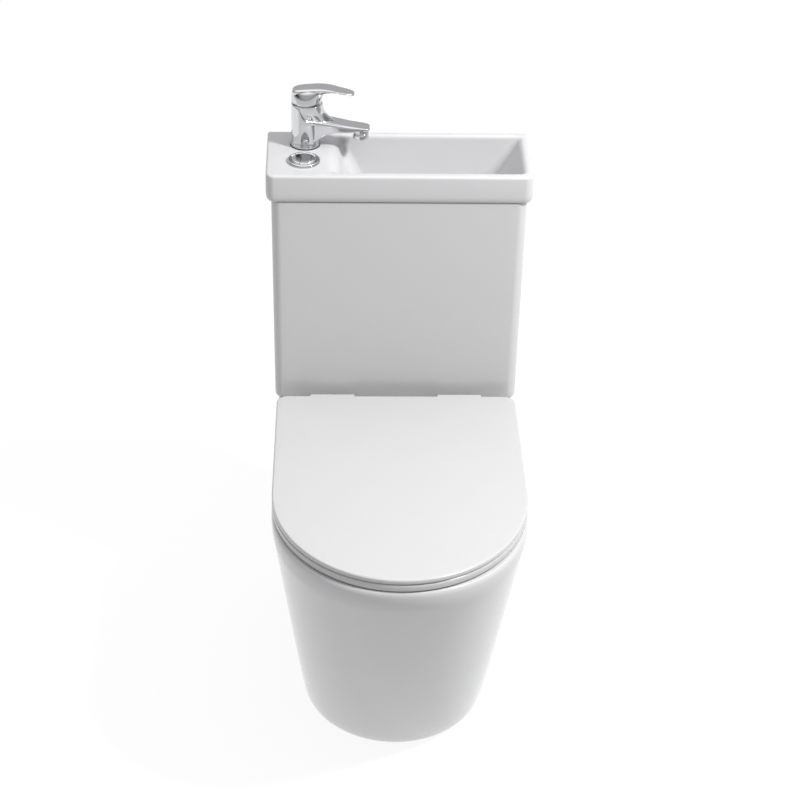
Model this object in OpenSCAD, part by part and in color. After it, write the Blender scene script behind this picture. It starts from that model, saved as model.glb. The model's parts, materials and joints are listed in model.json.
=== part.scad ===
// Close-coupled toilet with a hand basin that is the lid of its cistern.
// The origin is on the floor, under the centre of the whole object.
// +Z is up, +Y points to the wall and +X to the right of someone facing it.

/* [Overall] */
// Wall to the front of the seat
overall_depth = 634; // [624:1:680]
// Floor to the top of the basin
overall_h = 784; // [776:1:830]

/* [Pan] */
// Greatest width of the pan, under its rim
pan_w = 361; // [352:1:380]
// Width of the pan at the wall, under its rim
pan_rear_w = 348; // [336:1:360]
// Floor to the flat rim
pan_rim_h = 406; // [396:1:414]
// Height of the rounded edge of the rim
rim_round = 20; // [12:1:26]
// Width of the foot at the floor
foot_w = 272; // [250:1:300]
// Width of the foot at the wall
foot_rear_w = 256; // [246:1:270]
// Setback of the foot behind the front of the pan
foot_setback = 179; // [150:1:200]
// Wall of the skirt and of the bowl
pan_wall = 12; // [9:0.5:14]
// Thickness of the deck and the rim
deck_t = 14; // [11:0.5:18]
// Width of the bowl's mouth
bowl_w = 280; // [256:1:290]
// Width of the rim in front of the bowl
front_rim = 38; // [30:1:48]
// Depth of the bowl from the rim to the sump
bowl_depth = 308; // [290:1:320]
// Width of the sump
sump_w = 96; // [84:1:110]
// Radius of the trapway's bore
trap_r = 27; // [24:0.5:29]
// Floor to the centre of the outlet
outlet_h = 185; // [175:1:195]
// Outer radius of the outlet spigot
outlet_r = 51; // [47:0.5:55]
// Length of the outlet spigot
outlet_len = 44; // [36:1:52]
// Gap between the outlet's end and the wall
outlet_gap = 12; // [6:1:24]

/* [Seat] */
// Width of the seat and the lid
seat_w = 360; // [350:1:370]
// Thickness of the seat ring
ring_t = 10; // [9:0.5:10.5]
// Thickness of the lid
lid_t = 7; // [6:0.5:9]
// Gap from the rim to the ring, and the height of its buffers
ring_gap = 2.5; // [2:0.1:3]
// Gap from the ring to the lid
lid_gap = 1.5; // [1:0.1:2]
// Radius of the upper edge of the ring and the lid
seat_edge_r = 3; // [1:0.5:4]
// Width of the ring on each side of its opening
ring_band = 70; // [60:1:80]
// Hinge axis in front of the cistern
hinge_to_cistern = 22; // [19:0.5:28]
// Lid behind the hinge axis, between the hinges
lid_tail = 4; // [2:0.5:5]
// Distance between the two hinge bolts
hinge_pitch = 155; // [150:1:160]
// Length of each hinge, measured along its pin
hinge_len = 66; // [62:1:72]
// Outer radius of the lid's hinge barrel
hinge_r = 10; // [9.5:0.1:10.5]
// Radius of the hinge pin
hinge_pin_r = 4; // [3:0.1:4.2]

/* [Cistern] */
// Width of the cistern at its top
cistern_w = 369; // [362:1:376]
// Width of the cistern at its bottom
cistern_foot_w = 362; // [354:1:366]
// Lean of the cistern's front from bottom to top
cistern_lean = 3; // [0:0.5:6]
// Wall of the cistern
cistern_wall = 8; // [6:0.5:9]
// Floor of the cistern
cistern_floor = 12; // [9:0.5:15]
// Radius of the cistern's front corners
cistern_corner = 14; // [8:1:22]
// Gap between the pan's deck and the cistern
cistern_gap = 2; // [1:0.1:2.5]
// Width of the dry channel behind the tap
channel_w = 48; // [46:1:52]
// Depth of the dry channel
channel_d = 67; // [64:1:70]
// Distance between the two holes for wall screws
wall_pitch = 140; // [110:1:160]
// Wall screw holes below the basin's top
wall_hole_drop = 86; // [82:1:100]

/* [Basin] */
// Width of the basin
basin_w = 384; // [380:1:396]
// Depth of the basin, front to wall
basin_d = 150; // [148:1:156]
// Height of the basin's apron
apron_h = 43; // [39:1:48]
// Radius of the basin's front corners
basin_corner = 13; // [8:1:18]
// Overhang of the basin's front over the cistern
basin_overhang = 4; // [2:0.5:5]
// Thickness of the basin's deck
basin_t = 12; // [10:0.5:14]
// Wall of the basin's bowl
basin_wall = 8; // [6:0.5:8.5]
// Width of the flat deck on the left
tap_deck_w = 94; // [90:1:100]
// Width of the basin's front rim
basin_front_rim = 15; // [13:0.5:17]
// Width of the basin's rear rim
basin_rear_rim = 13; // [11:0.5:16]
// Width of the basin's right rim
basin_side_rim = 9; // [8:0.5:11]
// Depth of the basin's bowl
basin_bowl_h = 80; // [72:1:84]

/* [Flush buttons] */
// Radius of the button's bezel
bezel_r = 24; // [23:0.5:26]
// Radius of the pair of buttons
button_r = 17.4; // [16:0.1:18]
// Travel of each button
button_travel = 8; // [5:0.5:8.5]
// Button's centre to the wall
button_to_wall = 100; // [98:1:102]
// Radius of the push rods
rod_r = 2.5; // [2:0.1:3]

/* [Flush valve] */
// Radius of the valve's bore
valve_bore_r = 25; // [22:0.5:26]
// Radius of the valve's threaded shank
valve_shank_r = 31.5; // [30:0.5:32]
// Outer radius of the overflow tube
overflow_r = 10; // [8:0.5:11]
// Outer radius of the valve's tower
tower_r = 34; // [32:1:38]
// Rocker axle below the basin's top
rocker_drop = 134; // [130:1:140]
// Rocker axle to the valve's centre
rocker_reach = 76; // [70:1:82]
// Thickness of each rocker
rocker_t = 4; // [3:0.5:5]
// Length of the valve's shank below the cistern
valve_shank_len = 26; // [20:1:26]
// Thickness of the valve's flange in the cistern
valve_flange_t = 8; // [6:1:10]
// Thickness of the rubber washers in the cistern
washer_t = 3; // [2:0.5:4]
// Radius of the rockers' axle
axle_r = 2.5; // [2:0.1:3]

/* [Fill valve] */
// Fill valve's centre to the cistern's side
fill_to_side = 46; // [44:0.5:56]
// Radius of the threaded inlet shank
inlet_r = 8; // [7:0.5:9]
// Thickness of the nuts and the flange on that shank
inlet_nut_h = 10; // [8:1:12]
// Length of the inlet shank below the cistern
inlet_len = 60; // [50:1:80]
// Radius of the riser
riser_r = 11; // [10:0.5:12]
// Outer radius of the float
float_r = 32; // [31.5:0.5:34]
// Height of the float
float_h = 46; // [36:1:56]
// Travel of the float
float_travel = 8; // [5:0.5:8]

/* [Waste] */
// Radius of the waste's flange
waste_r = 29; // [27:0.5:30]
// Radius of the waste's threaded tail
waste_tail_r = 22; // [19:0.5:23]
// Length of the waste's tail below the bowl
waste_len = 34; // [30:1:38]

/* [Tap] */
// Tap's centre to the wall
tap_to_wall = 44; // [43:0.5:46]
// Radius of the tap's body
tap_r = 21.5; // [21:0.1:22.5]
// Height of the body up to its neck
tap_body_h = 66; // [64:0.5:70]
// Radius of the handle where it meets the body
hub_r = 20.2; // [20:0.1:21.2]
// Reach of the spout from the tap's centre
spout_reach = 94; // [86:1:104]
// Height of the spout's underside above the deck
spout_h = 23; // [21:0.5:24]
// Radius of the aerator
aerator_r = 10.5; // [9:0.1:11]
// Reach of the lever from the tap's centre
lever_reach = 71; // [60:1:80]
// Radius of the hole in the deck
tap_hole_r = 17.5; // [16.5:0.5:18]
// Radius of each copper tail
tail_r = 4; // [3:0.5:4.5]
// Length of the copper tails below the basin's top
tail_len = 330; // [250:5:345]

/* [Floor fixings] */
// Height of the side screws above the floor
side_screw_h = 42; // [36:1:60]
// Side screws to the wall
side_screw_to_wall = 150; // [120:1:190]
// Radius of the floor screw holes
floor_hole_r = 3.5; // [2.5:0.5:4]

/* [Hidden] */

$fn = 48;
run_fit = 0.05; // radial clearance of a pin or a slide
small_gap = 0.3; // clearance between pieces that only lie near each other
thread_fit = 0.05; // radial clearance of a screwed joint

// Places along Y and Z that several pieces share
wall_y = overall_depth / 2;
seat_front = -overall_depth / 2;
pan_front = seat_front + 1;
shoulder_h = pan_rim_h - rim_round;
ring_z = pan_rim_h + ring_gap;
lid_z = ring_z + ring_t + lid_gap;
lid_top = lid_z + lid_t;
basin_front = wall_y - basin_d;
cistern_front = basin_front + basin_overhang;
hinge_y = cistern_front - hinge_to_cistern;
hinge_z = lid_top - hinge_r;
cistern_z = pan_rim_h + cistern_gap;
cistern_floor_z = cistern_z + cistern_floor;
apron_z = overall_h - apron_h;
deck_under = overall_h - basin_t;
bowl_floor_z = overall_h - basin_bowl_h;
bowl_under_z = bowl_floor_z - basin_wall;
tap_x = -(basin_w / 2 - 56);
tap_y = wall_y - tap_to_wall;
button_x = tap_x - 1.5;
button_y = wall_y - button_to_wall;
valve_y = wall_y - 81;
// inside the cistern's side, and clear of the pan's skirt below
fill_x = min(min(cistern_w, cistern_foot_w) / 2 - fill_to_side, pan_rear_w / 2 - pan_wall - inlet_r - 17);
fill_y = wall_y - 74;
hinge_bolt_y = hinge_y - 25;
cistern_bolt_x = 78;

// ---- outlines and surfaces ----

function lerp(a, b, t) = a + (b - a) * t;

function arc(cx, cy, rx, ry, a0, a1, n) =
    [for (i = [0:n]) let (a = lerp(a0, a1, i / n)) [cx + rx * cos(a), cy + ry * sin(a)]];

// Half ellipse at the front, sides that run back to a narrower, round-cornered rear
function egg(half_w, rear_half_w, front, middle, back, corner_x, corner_y) = concat(
    arc(corner_x - rear_half_w, back - corner_y, corner_x, corner_y, 90, 180, 6),
    arc(0, middle, half_w, middle - front, 180, 360, 40),
    arc(rear_half_w - corner_x, back - corner_y, corner_x, corner_y, 0, 90, 6));

// Rectangle whose front and rear corners have their own radii
function round_box(x0, x1, y0, y1, front_r, rear_r) = concat(
    arc(x0 + rear_r, y1 - rear_r, rear_r, rear_r, 90, 180, 6),
    arc(x0 + front_r, y0 + front_r, front_r, front_r, 180, 270, 6),
    arc(x1 - front_r, y0 + front_r, front_r, front_r, 270, 360, 6),
    arc(x1 - rear_r, y1 - rear_r, rear_r, rear_r, 0, 90, 6));

// Closed surface through a list of rings with equally many points
module skin(rings) {
    n = len(rings[0]);
    m = len(rings);
    sides = [for (i = [0:m - 2]) for (j = [0:n - 1])
        let (a = i * n + j, b = i * n + (j + 1) % n)
        each [[a, a + n, b + n], [a, b + n, b]]];
    first_cap = [for (j = [0:n - 1]) j];
    last_cap = [for (j = [n - 1:-1:0]) (m - 1) * n + j];
    polyhedron([for (r = rings) each r], concat([first_cap], sides, [last_cap]), convexity = 8);
}

// Closed surface through level outlines, each given as [outline, height]
module loft(levels) {
    skin([for (l = levels) [for (p = l[0]) [p[0], p[1], l[1]]]]);
}

module at(x, y, z) {
    translate([x, y, z]) children();
}

// The same piece on the left and on the right
module both_sides() {
    children();
    mirror([1, 0, 0]) children();
}

module tube(r_out, r_in, h) {
    difference() {
        cylinder(r = r_out, h = h);
        at(0, 0, -1) cylinder(r = r_in, h = h + 2);
    }
}

module hex(across, h) {
    cylinder(d = across / cos(30), h = h, $fn = 6);
}

module hex_nut(across, hole_r, h) {
    difference() {
        hex(across, h);
        at(0, 0, -1) cylinder(r = hole_r, h = h + 2);
    }
}

// Cylinder along X, from x0 to x1
module x_rod(x0, x1, r) {
    at(x0, 0, 0) rotate([0, 90, 0]) cylinder(r = r, h = x1 - x0);
}

// Cylinder along Y, from y0 to y1
module y_rod(y0, y1, r) {
    at(0, y0, 0) rotate([-90, 0, 0]) cylinder(r = r, h = y1 - y0);
}

// ---- pan ----

mid_foot = 18; // where the foot's straight sides meet its round front
mid_rim = -107; // the same at the rim
front_bow = 0.8; // below 1 the front swells forward under the rim

// Outline of the skirt at height z, drawn in by w
function skirt_outline(z, w) =
    let (t = min(1, z / shoulder_h), s = pow(t, front_bow))
    egg(lerp(foot_w, pan_w, t) / 2 - w, lerp(foot_rear_w, pan_rear_w, t) / 2 - w,
        pan_front + foot_setback * (1 - s) + w, lerp(mid_foot, mid_rim, s), wall_y - w, 8, 8);

bowl_back = hinge_bolt_y - 34; // rear end of the bowl's mouth
sump_front = -70;
sump_back = 44;

// Outline of the bowl at a share t of its depth, widened by w
function bowl_outline(t, w) =
    let (s = pow(t, 1.8), half = lerp(bowl_w, sump_w, s) / 2 + w)
    egg(half, half - 1, lerp(pan_front + front_rim, sump_front, s) - w,
        lerp(-100, -22, s), lerp(bowl_back, sump_back, s) + w,
        half - 3, lerp(110, 50, s));

// Centre line of the trapway, as [y, z], from the sump over the weir to the outlet
trap_end_y = wall_y - outlet_gap - outlet_len;
trap_path = [[54, 124], [84, 118], [114, 132], [140, 164], [166, 192],
    [196, 203], [228, outlet_h + 7], [trap_end_y + 6, outlet_h]];

// Pipe along a path of [y, z] points, as rings square to it
module bent_pipe(path, r) {
    skin([for (i = [0:len(path) - 1])
        let (p = path[max(0, i - 1)], q = path[min(len(path) - 1, i + 1)])
        let (slope = atan2(q[1] - p[1], q[0] - p[0]))
        [for (k = [0:19]) let (a = k * 18)
            [r * cos(a), path[i][0] + r * sin(a) * sin(slope), path[i][1] - r * sin(a) * cos(slope)]]]);
}

inlet_recess_r = 46;
inlet_block = 12;
flush_way_r = 19;
flush_way_z = pan_rim_h - 54;
inlet_recess_d = 26;

deck_under_z = pan_rim_h - deck_t;

module pan_shell() {
    loft(concat(
        [for (t = [1, 0.88, 0.7, 0.5, 0.3, 0.12])
            [bowl_outline(t, pan_wall), pan_rim_h - t * (bowl_depth + pan_wall)]],
        [[bowl_outline(0.04, pan_wall), deck_under_z]],
        [[skirt_outline(deck_under_z, pan_wall), deck_under_z]],
        [for (t = [0.7, 0.45, 0.2, 0]) [skirt_outline(t * deck_under_z, pan_wall), t * deck_under_z]],
        [[skirt_outline(0, 2), 0]],
        [for (t = [0.008, 0.12, 0.25, 0.4, 0.55, 0.7, 0.85, 1])
            [skirt_outline(t * shoulder_h, 0), t * shoulder_h]],
        [for (a = [22.5, 45, 67.5, 90])
            [skirt_outline(shoulder_h, 11 * (1 - cos(a))), shoulder_h + rim_round * sin(a)]],
        [[bowl_outline(0, 5), pan_rim_h], [bowl_outline(0, 1.5), pan_rim_h - 1.5]],
        [for (t = [0.016, 0.08, 0.18, 0.3, 0.45, 0.6, 0.75, 0.88, 0.96, 1])
            [bowl_outline(t, 0), pan_rim_h - t * bowl_depth]]));
}

rear_open_w = 200;
rear_open_h = 330;

// Space that holds the bowl below the deck, widened by w
module bowl_space(w, top) {
    loft(concat(
        [[bowl_outline(1, pan_wall + w), pan_rim_h - bowl_depth - pan_wall - w]],
        [for (t = [0.98, 0.88, 0.7, 0.5, 0.3, 0.12])
            [bowl_outline(t, pan_wall + w), pan_rim_h - t * (bowl_depth + pan_wall)]],
        [[bowl_outline(0.04, pan_wall + w), top]]));
}

module trap_bore() {
    bent_pipe(concat([[26, 129]], trap_path), trap_r);
}

module flush_way() {
    at(0, valve_y, flush_way_z - flush_way_r) cylinder(r = inlet_recess_r - 8, h = 60);
    at(0, 0, flush_way_z) y_rod(bowl_back - 14, valve_y, flush_way_r);
}

// The pan is one casting, kept as three solids that meet face to face: skirt with deck and rim,
// bowl, and the ways for the water
module pan() {
    color("whitesmoke") difference() {
        pan_shell();
        bowl_space(2, deck_under_z - 2);
        // open back for the pipes
        at(-rear_open_w / 2, wall_y - pan_wall - 4, -1) cube([rear_open_w, pan_wall + 5, rear_open_h + 1]);
        at(0, valve_y, pan_rim_h - inlet_recess_d) cylinder(r = inlet_recess_r, h = 40);
        both_sides() at(hinge_pitch / 2, hinge_bolt_y, deck_under_z - 2) cylinder(r = 6, h = deck_t + 4);
        both_sides() at(cistern_bolt_x, valve_y, deck_under_z - 2) cylinder(r = 6, h = deck_t + 4);
        at(fill_x, fill_y, deck_under_z - 2) cylinder(r = inlet_r + 14, h = deck_t + 4);
        both_sides() at(0, wall_y - side_screw_to_wall, side_screw_h) x_rod(90, 180, 4.5);
    }
}

module pan_bowl() {
    color("whitesmoke") difference() {
        intersection() {
            pan_shell();
            bowl_space(2, deck_under_z - 2);
        }
        trap_bore();
        flush_way();
    }
}

module pan_waterway() {
    block_r = inlet_recess_r + inlet_block;
    block_h = 70;
    color("whitesmoke") difference() {
        union() {
            // chamber under the cistern's outlet, and the way forward to the bowl
            at(-block_r, valve_y - block_r, deck_under_z - block_h) cube([2 * block_r, 2 * block_r, block_h]);
            at(0, 0, flush_way_z) y_rod(bowl_back - 10, valve_y - block_r + 5, flush_way_r + 7);
            bent_pipe(trap_path, trap_r + 8);
            at(0, 0, outlet_h) y_rod(trap_end_y, wall_y - outlet_gap, outlet_r);
        }
        bowl_space(0, deck_under_z);
        trap_bore();
        flush_way();
        at(0, 0, outlet_h) y_rod(trap_end_y + 5, wall_y, outlet_r - 9);
        at(0, valve_y, pan_rim_h - inlet_recess_d) cylinder(r = inlet_recess_r, h = 40);
    }
}

// ---- seat ----

// Outline of the seat, drawn in by w, with its rear edge at y = back
function seat_outline(back, w) =
    egg(seat_w / 2 - w, seat_w / 2 - 2 - w, seat_front + w, -107, back - w, 16, 16);

module seat_plate(back, z, t) {
    loft(concat(
        [[seat_outline(back, 1), z], [seat_outline(back, 0), z + 1]],
        [for (a = [0, 30, 60, 90])
            [seat_outline(back, seat_edge_r * (1 - cos(a))), z + t - seat_edge_r * (1 - sin(a))]]));
}

ring_back = hinge_bolt_y - 18; // rear edge of the ring, ahead of the hinge posts
post_r = hinge_r - 3; // radius of the barrels under the lid's hinge cover
hinge_x0 = hinge_pitch / 2 - 15.5; // inner end of each hinge
post_x1 = hinge_x0 + 30;
ring_lug_x0 = post_x1 + 1;
ring_lug_x1 = ring_lug_x0 + 16;
lid_lug_x0 = ring_lug_x1 + 1;
lid_lug_x1 = hinge_x0 + hinge_len;

module seat_ring() {
    color("white")
    difference() {
        union() {
            difference() {
                seat_plate(ring_back, ring_z, ring_t);
                ring_opening();
            }
            both_sides() {
                at(ring_lug_x0, ring_back - 8, ring_z + 1.5)
                    cube([ring_lug_x1 - ring_lug_x0, hinge_y - ring_back + 8, ring_t - 1.5]);
                at(0, hinge_y, hinge_z) x_rod(ring_lug_x0, ring_lug_x1, post_r);
            }
        }
        both_sides() at(0, hinge_y, hinge_z) x_rod(ring_lug_x0 - 1, ring_lug_x1 + 1, hinge_pin_r + run_fit);
    }
}

// Hole through the ring, wider at its top and bottom edges
module ring_opening() {
    half = seat_w / 2 - ring_band;
    back = ring_back - ring_band + 12;
    function opening(w) =
        egg(half + w, half - 2 + w, seat_front + ring_band - 4 - w, -107, back + w, half - 12, 84);
    loft([for (l = [[2, -1], [2, 0], [0, 2], [0, ring_t - 3], [3, ring_t], [3, ring_t + 1]])
        [opening(l[0]), ring_z + l[1]]]);
}

module seat_lid() {
    cover_r = post_r + 0.8;
    color("white")
    difference() {
        union() {
            seat_plate(hinge_y + lid_tail, lid_z, lid_t);
            both_sides() at(0, hinge_y, hinge_z) {
                x_rod(lid_lug_x0, lid_lug_x1, hinge_r);
                // quarter shell that covers the hinge from behind
                intersection() {
                    x_rod(hinge_x0, lid_lug_x0 + 1, hinge_r);
                    at(hinge_x0 - 1, 0, 0) cube([hinge_len, hinge_r + 1, hinge_r + 1]);
                }
            }
        }
        both_sides() at(0, hinge_y, hinge_z) {
            x_rod(hinge_x0 - 1, lid_lug_x0, cover_r);
            x_rod(lid_lug_x0 - 1, lid_lug_x1 - 2, hinge_pin_r + run_fit);
        }
    }
}

buffer_r = 6;

module ring_buffers() {
    h = ring_gap - small_gap;
    color("gainsboro") both_sides() {
        at(seat_w / 2 - 22, 20, ring_z - h) cylinder(r = buffer_r, h = h);
        at(92, seat_front + 62, ring_z - h) cylinder(r = buffer_r, h = h);
    }
}

module lid_buffers() {
    h = lid_gap - small_gap;
    color("gainsboro") both_sides() {
        at(seat_w / 2 - 30, -30, lid_z - h) cylinder(r = buffer_r, h = h);
        at(78, seat_front + 52, lid_z - h) cylinder(r = buffer_r, h = h);
    }
}

// ---- hinges ----

post_h = hinge_z - 2.5 - pan_rim_h;

module hinge_posts() {
    color("silver") both_sides() difference() {
        union() {
            at(0, hinge_y, hinge_z) x_rod(hinge_x0 + 2, post_x1, post_r);
            at(hinge_x0 + 1, ring_back + 2, pan_rim_h)
                cube([post_x1 - hinge_x0 - 1, hinge_y - ring_back - 5, post_h]);
        }
        at(0, hinge_y, hinge_z) x_rod(hinge_x0 + 4, post_x1 + 1, hinge_pin_r + run_fit);
        at(hinge_pitch / 2, hinge_bolt_y, pan_rim_h - 1) cylinder(r = bolt_r + run_fit, h = post_h + 2);
    }
}

module hinge_pins() {
    color("gray") both_sides() at(0, hinge_y, hinge_z)
        x_rod(hinge_x0 + 4 + small_gap, lid_lug_x1 - 2 - small_gap, hinge_pin_r);
}

module hinge_bolts() {
    color("silver") both_sides() at(hinge_pitch / 2, hinge_bolt_y, 0) {
        at(0, 0, pan_rim_h - deck_t - 22) cylinder(r = bolt_r, h = post_h + deck_t + 22);
        at(0, 0, pan_rim_h + post_h) cylinder(r = 6.5, h = 2.5);
    }
}

module hinge_nuts() {
    nut_h = 10;
    color("gainsboro") both_sides()
        at(hinge_pitch / 2, hinge_bolt_y, pan_rim_h - deck_t - washer_t - nut_h)
            hex_nut(19, bolt_r + thread_fit, nut_h);
}

// ---- cistern ----

// Outline of the cistern at a share t of its height, drawn in by w
function cistern_outline(t, w) =
    let (half = lerp(cistern_foot_w, cistern_w, t) / 2 - w)
    round_box(-half, half, cistern_front + cistern_lean * (1 - t) + w, wall_y - w,
        max(2, cistern_corner - w), max(1, 6 - w));

module cistern() {
    h = apron_z - cistern_z;
    floor_t = cistern_floor / h;
    channel_x0 = tap_x - channel_w / 2;
    color("whitesmoke")
    difference() {
        loft([[cistern_outline(0, 4), cistern_z], [cistern_outline(0, 1), cistern_z + 2],
            [cistern_outline(0.015, 0), cistern_z + 0.015 * h], [cistern_outline(1, 0), apron_z]]);
        difference() {
            loft([[cistern_outline(floor_t, cistern_wall + 3), cistern_floor_z],
                [cistern_outline(floor_t, cistern_wall), cistern_floor_z + 3],
                [cistern_outline(1, cistern_wall), apron_z + 1]]);
            at(channel_x0 - cistern_wall, wall_y - channel_d - cistern_wall, cistern_z - 1)
                cube([channel_w + 2 * cistern_wall, channel_d + cistern_wall + 1, h + 3]);
        }
        at(channel_x0, wall_y - channel_d, cistern_z - 1) cube([channel_w, channel_d + 1, h + 3]);
        at(0, valve_y, cistern_z - 1) cylinder(r = valve_shank_r + 1, h = cistern_floor + 2);
        at(fill_x, fill_y, cistern_z - 1) cylinder(r = inlet_r + 1, h = cistern_floor + 2);
        both_sides() at(cistern_bolt_x, valve_y, cistern_z - 1) cylinder(r = 5, h = cistern_floor + 2);
        both_sides() at(wall_pitch / 2, 0, overall_h - wall_hole_drop)
            y_rod(wall_y - cistern_wall - 1, wall_y + 1, 3.5);
    }
}

// ---- basin ----

// Outline of the basin's outside, drawn in by w
function basin_outline(w) =
    round_box(w - basin_w / 2, basin_w / 2 - w, basin_front + w, wall_y - min(w, 12),
        max(3, basin_corner - w), max(2, 4 - w));

// Outline of the bowl at depth d, widened by w; roll is how far its left edge is still rolling in
function sink_outline(d, roll, w) =
    let (t = d / basin_bowl_h)
    round_box(tap_deck_w - basin_w / 2 + 8 - roll + 30 * t - w,
        basin_w / 2 - basin_side_rim - 40 * t + w,
        basin_front + basin_front_rim + 14 * t - w,
        wall_y - basin_rear_rim - 16 * t + w,
        8 + 20 * t + w, 8 + 30 * t + w);

module basin() {
    lip = 11; // thickness of the apron
    color("whitesmoke")
    difference() {
        loft(concat(
            [[sink_outline(basin_bowl_h, 0, -4), bowl_under_z]],
            [[sink_outline(basin_bowl_h - 2, 0, 4), bowl_under_z + 5]],
            [[sink_outline(60, 0, basin_wall), overall_h - 60]],
            [[sink_outline(apron_h, 0, basin_wall), apron_z]],
            [[sink_outline(28, 0, basin_wall - 3), overall_h - 28]],
            [[sink_outline(basin_t, 0, 2), deck_under]],
            [[basin_outline(lip), deck_under], [basin_outline(lip), apron_z]],
            [[basin_outline(6), apron_z], [basin_outline(2.4), apron_z + 2]],
            [[basin_outline(0.6), apron_z + 6]],
            [[basin_outline(0), apron_z + 12], [basin_outline(0), overall_h - 3]],
            [[basin_outline(0.9), overall_h - 0.9], [basin_outline(3), overall_h]],
            [[sink_outline(0, 14, 2), overall_h], [sink_outline(0, 9, 0.7), overall_h - 0.8]],
            [[sink_outline(3, 4, 0), overall_h - 3], [sink_outline(8, 1, 0), overall_h - 8]],
            [for (d = [18, 34, 50]) [sink_outline(d, 0, 0), overall_h - d]],
            [[sink_outline(66, 0, -0.5), overall_h - 66]],
            [[sink_outline(74, 0, -3), overall_h - 74]],
            [[sink_outline(78.5, 0, -7.5), overall_h - 78.5]],
            [[sink_outline(basin_bowl_h, 0, -13), bowl_floor_z]]));
        at(tap_x, tap_y, deck_under - 1) cylinder(r = tap_hole_r, h = basin_t + 2);
        at(button_x, button_y, deck_under - 1) cylinder(r = button_r + 3, h = basin_t + 2);
        at(waste_x, waste_y, bowl_under_z - 1) cylinder(r = waste_tail_r + 1, h = basin_wall + 3);
    }
}

// ---- coupling between pan and cistern ----

gasket_in_r = valve_shank_r + 9; // the gasket fits round the flush valve's back nut
bolt_r = 4; // of the cistern bolts, the hinge bolts and the tap's stud

module coupling_gasket() {
    color("dimgray") at(0, valve_y, pan_rim_h - inlet_recess_d)
        tube(inlet_recess_r - small_gap, gasket_in_r, inlet_recess_d + cistern_gap);
}

module cistern_bolts() {
    bolt_end_z = pan_rim_h - deck_t - 26;
    color("goldenrod") both_sides() at(cistern_bolt_x, valve_y, 0) {
        at(0, 0, bolt_end_z) cylinder(r = bolt_r, h = cistern_floor_z + washer_t - bolt_end_z);
        at(0, 0, cistern_floor_z + washer_t) hex(13, 5);
    }
}

// Rubber washers of the cistern's bolts and, under the deck, of the hinge bolts
module bolt_washers() {
    color("dimgray") both_sides() {
        at(cistern_bolt_x, valve_y, cistern_floor_z) tube(12, bolt_r + small_gap, washer_t);
        at(hinge_pitch / 2, hinge_bolt_y, deck_under_z - washer_t) tube(12, bolt_r + small_gap, washer_t);
    }
}

module cistern_wing_nuts() {
    nut_h = 12;
    wing_span = 38;
    wing_t = 3;
    color("goldenrod") both_sides() at(cistern_bolt_x, valve_y, pan_rim_h - deck_t - nut_h) difference() {
        union() {
            cylinder(r = 9, h = nut_h);
            at(-wing_span / 2, -wing_t / 2, 0) cube([wing_span, wing_t, 9]);
        }
        at(0, 0, -1) cylinder(r = bolt_r + thread_fit, h = nut_h + 2);
    }
}

// ---- flush valve ----

seat_z = cistern_floor_z + washer_t + valve_flange_t; // top of the valve's flange
valve_flange_r = valve_shank_r + 11;
seal_t = 4;
rocker_z = overall_h - rocker_drop;
rocker_top = rocker_z + 4; // upper edge of both rockers
tower_top = rocker_z - 34;
full_y = valve_y - overflow_r - 4; // plane of the full-flush rocker
half_y = full_y - 10;
full_rod_x = button_x + 7.5;
half_rod_x = button_x - 9.5;
axle_x = -rocker_reach;
half_lift_x = -3; // the half-flush rocker stops short of its lifting rod

module flush_valve_base() {
    color("white") at(0, valve_y, 0) difference() {
        union() {
            at(0, 0, cistern_z - valve_shank_len)
                cylinder(r = valve_shank_r, h = valve_shank_len + cistern_floor + washer_t);
            at(0, 0, seat_z - valve_flange_t) cylinder(r = valve_flange_r, h = valve_flange_t);
        }
        at(0, 0, cistern_z - valve_shank_len - 1)
            cylinder(r = valve_bore_r, h = seat_z - cistern_z + valve_shank_len + 2);
    }
}

module flush_valve_washer() {
    color("dimgray") at(0, valve_y, cistern_floor_z)
        tube(valve_flange_r - 2, valve_shank_r + small_gap, washer_t);
}

module flush_valve_backnut() {
    nut_h = 12;
    color("white") at(0, valve_y, cistern_z - nut_h)
        tube(gasket_in_r - small_gap, valve_shank_r + thread_fit, nut_h);
}

module flush_valve_tower() {
    cheek = 4; // thickness of each cheek
    plate_t = 6;
    window_w = 24;
    window_h = 90;
    half_cheek_y = half_y - rocker_t / 2 - 1 - cheek;
    full_cheek_y = full_y + rocker_t / 2 + 1;
    plate_y0 = half_cheek_y - valve_y;
    color("lightsteelblue") at(0, valve_y, 0) difference() {
        union() {
            at(0, 0, seat_z) tube(tower_r, tower_r - 4, tower_top - seat_z);
            at(0, 0, tower_top) cylinder(r = tower_r, h = plate_t);
            // plate that carries the rockers' two cheeks
            at(axle_x - 8, plate_y0, tower_top)
                cube([rocker_reach + 14, full_cheek_y + cheek - half_cheek_y, plate_t]);
            for (y = [half_cheek_y, full_cheek_y])
                at(axle_x - 8, y - valve_y, tower_top) cube([16, cheek, rocker_z + 8 - tower_top]);
        }
        at(0, 0, tower_top - 1) cylinder(r = overflow_r + run_fit, h = plate_t + 2);
        at(0, half_y - valve_y, tower_top - 1) cylinder(r = rod_r + run_fit, h = plate_t + 2);
        // windows that let the water in
        for (a = [0, 90])
            rotate([0, 0, a]) at(-tower_r - 1, -window_w / 2, seat_z + 8)
                cube([2 * tower_r + 2, window_w, window_h]);
        at(axle_x, -valve_y, rocker_z)
            y_rod(half_cheek_y - 1, full_cheek_y + cheek + 1, axle_r + run_fit);
    }
}

module rocker_axle() {
    color("silver") at(axle_x, 0, rocker_z)
        y_rod(half_y - rocker_t / 2 - 5, full_y + rocker_t / 2 + 5, axle_r);
}

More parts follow.
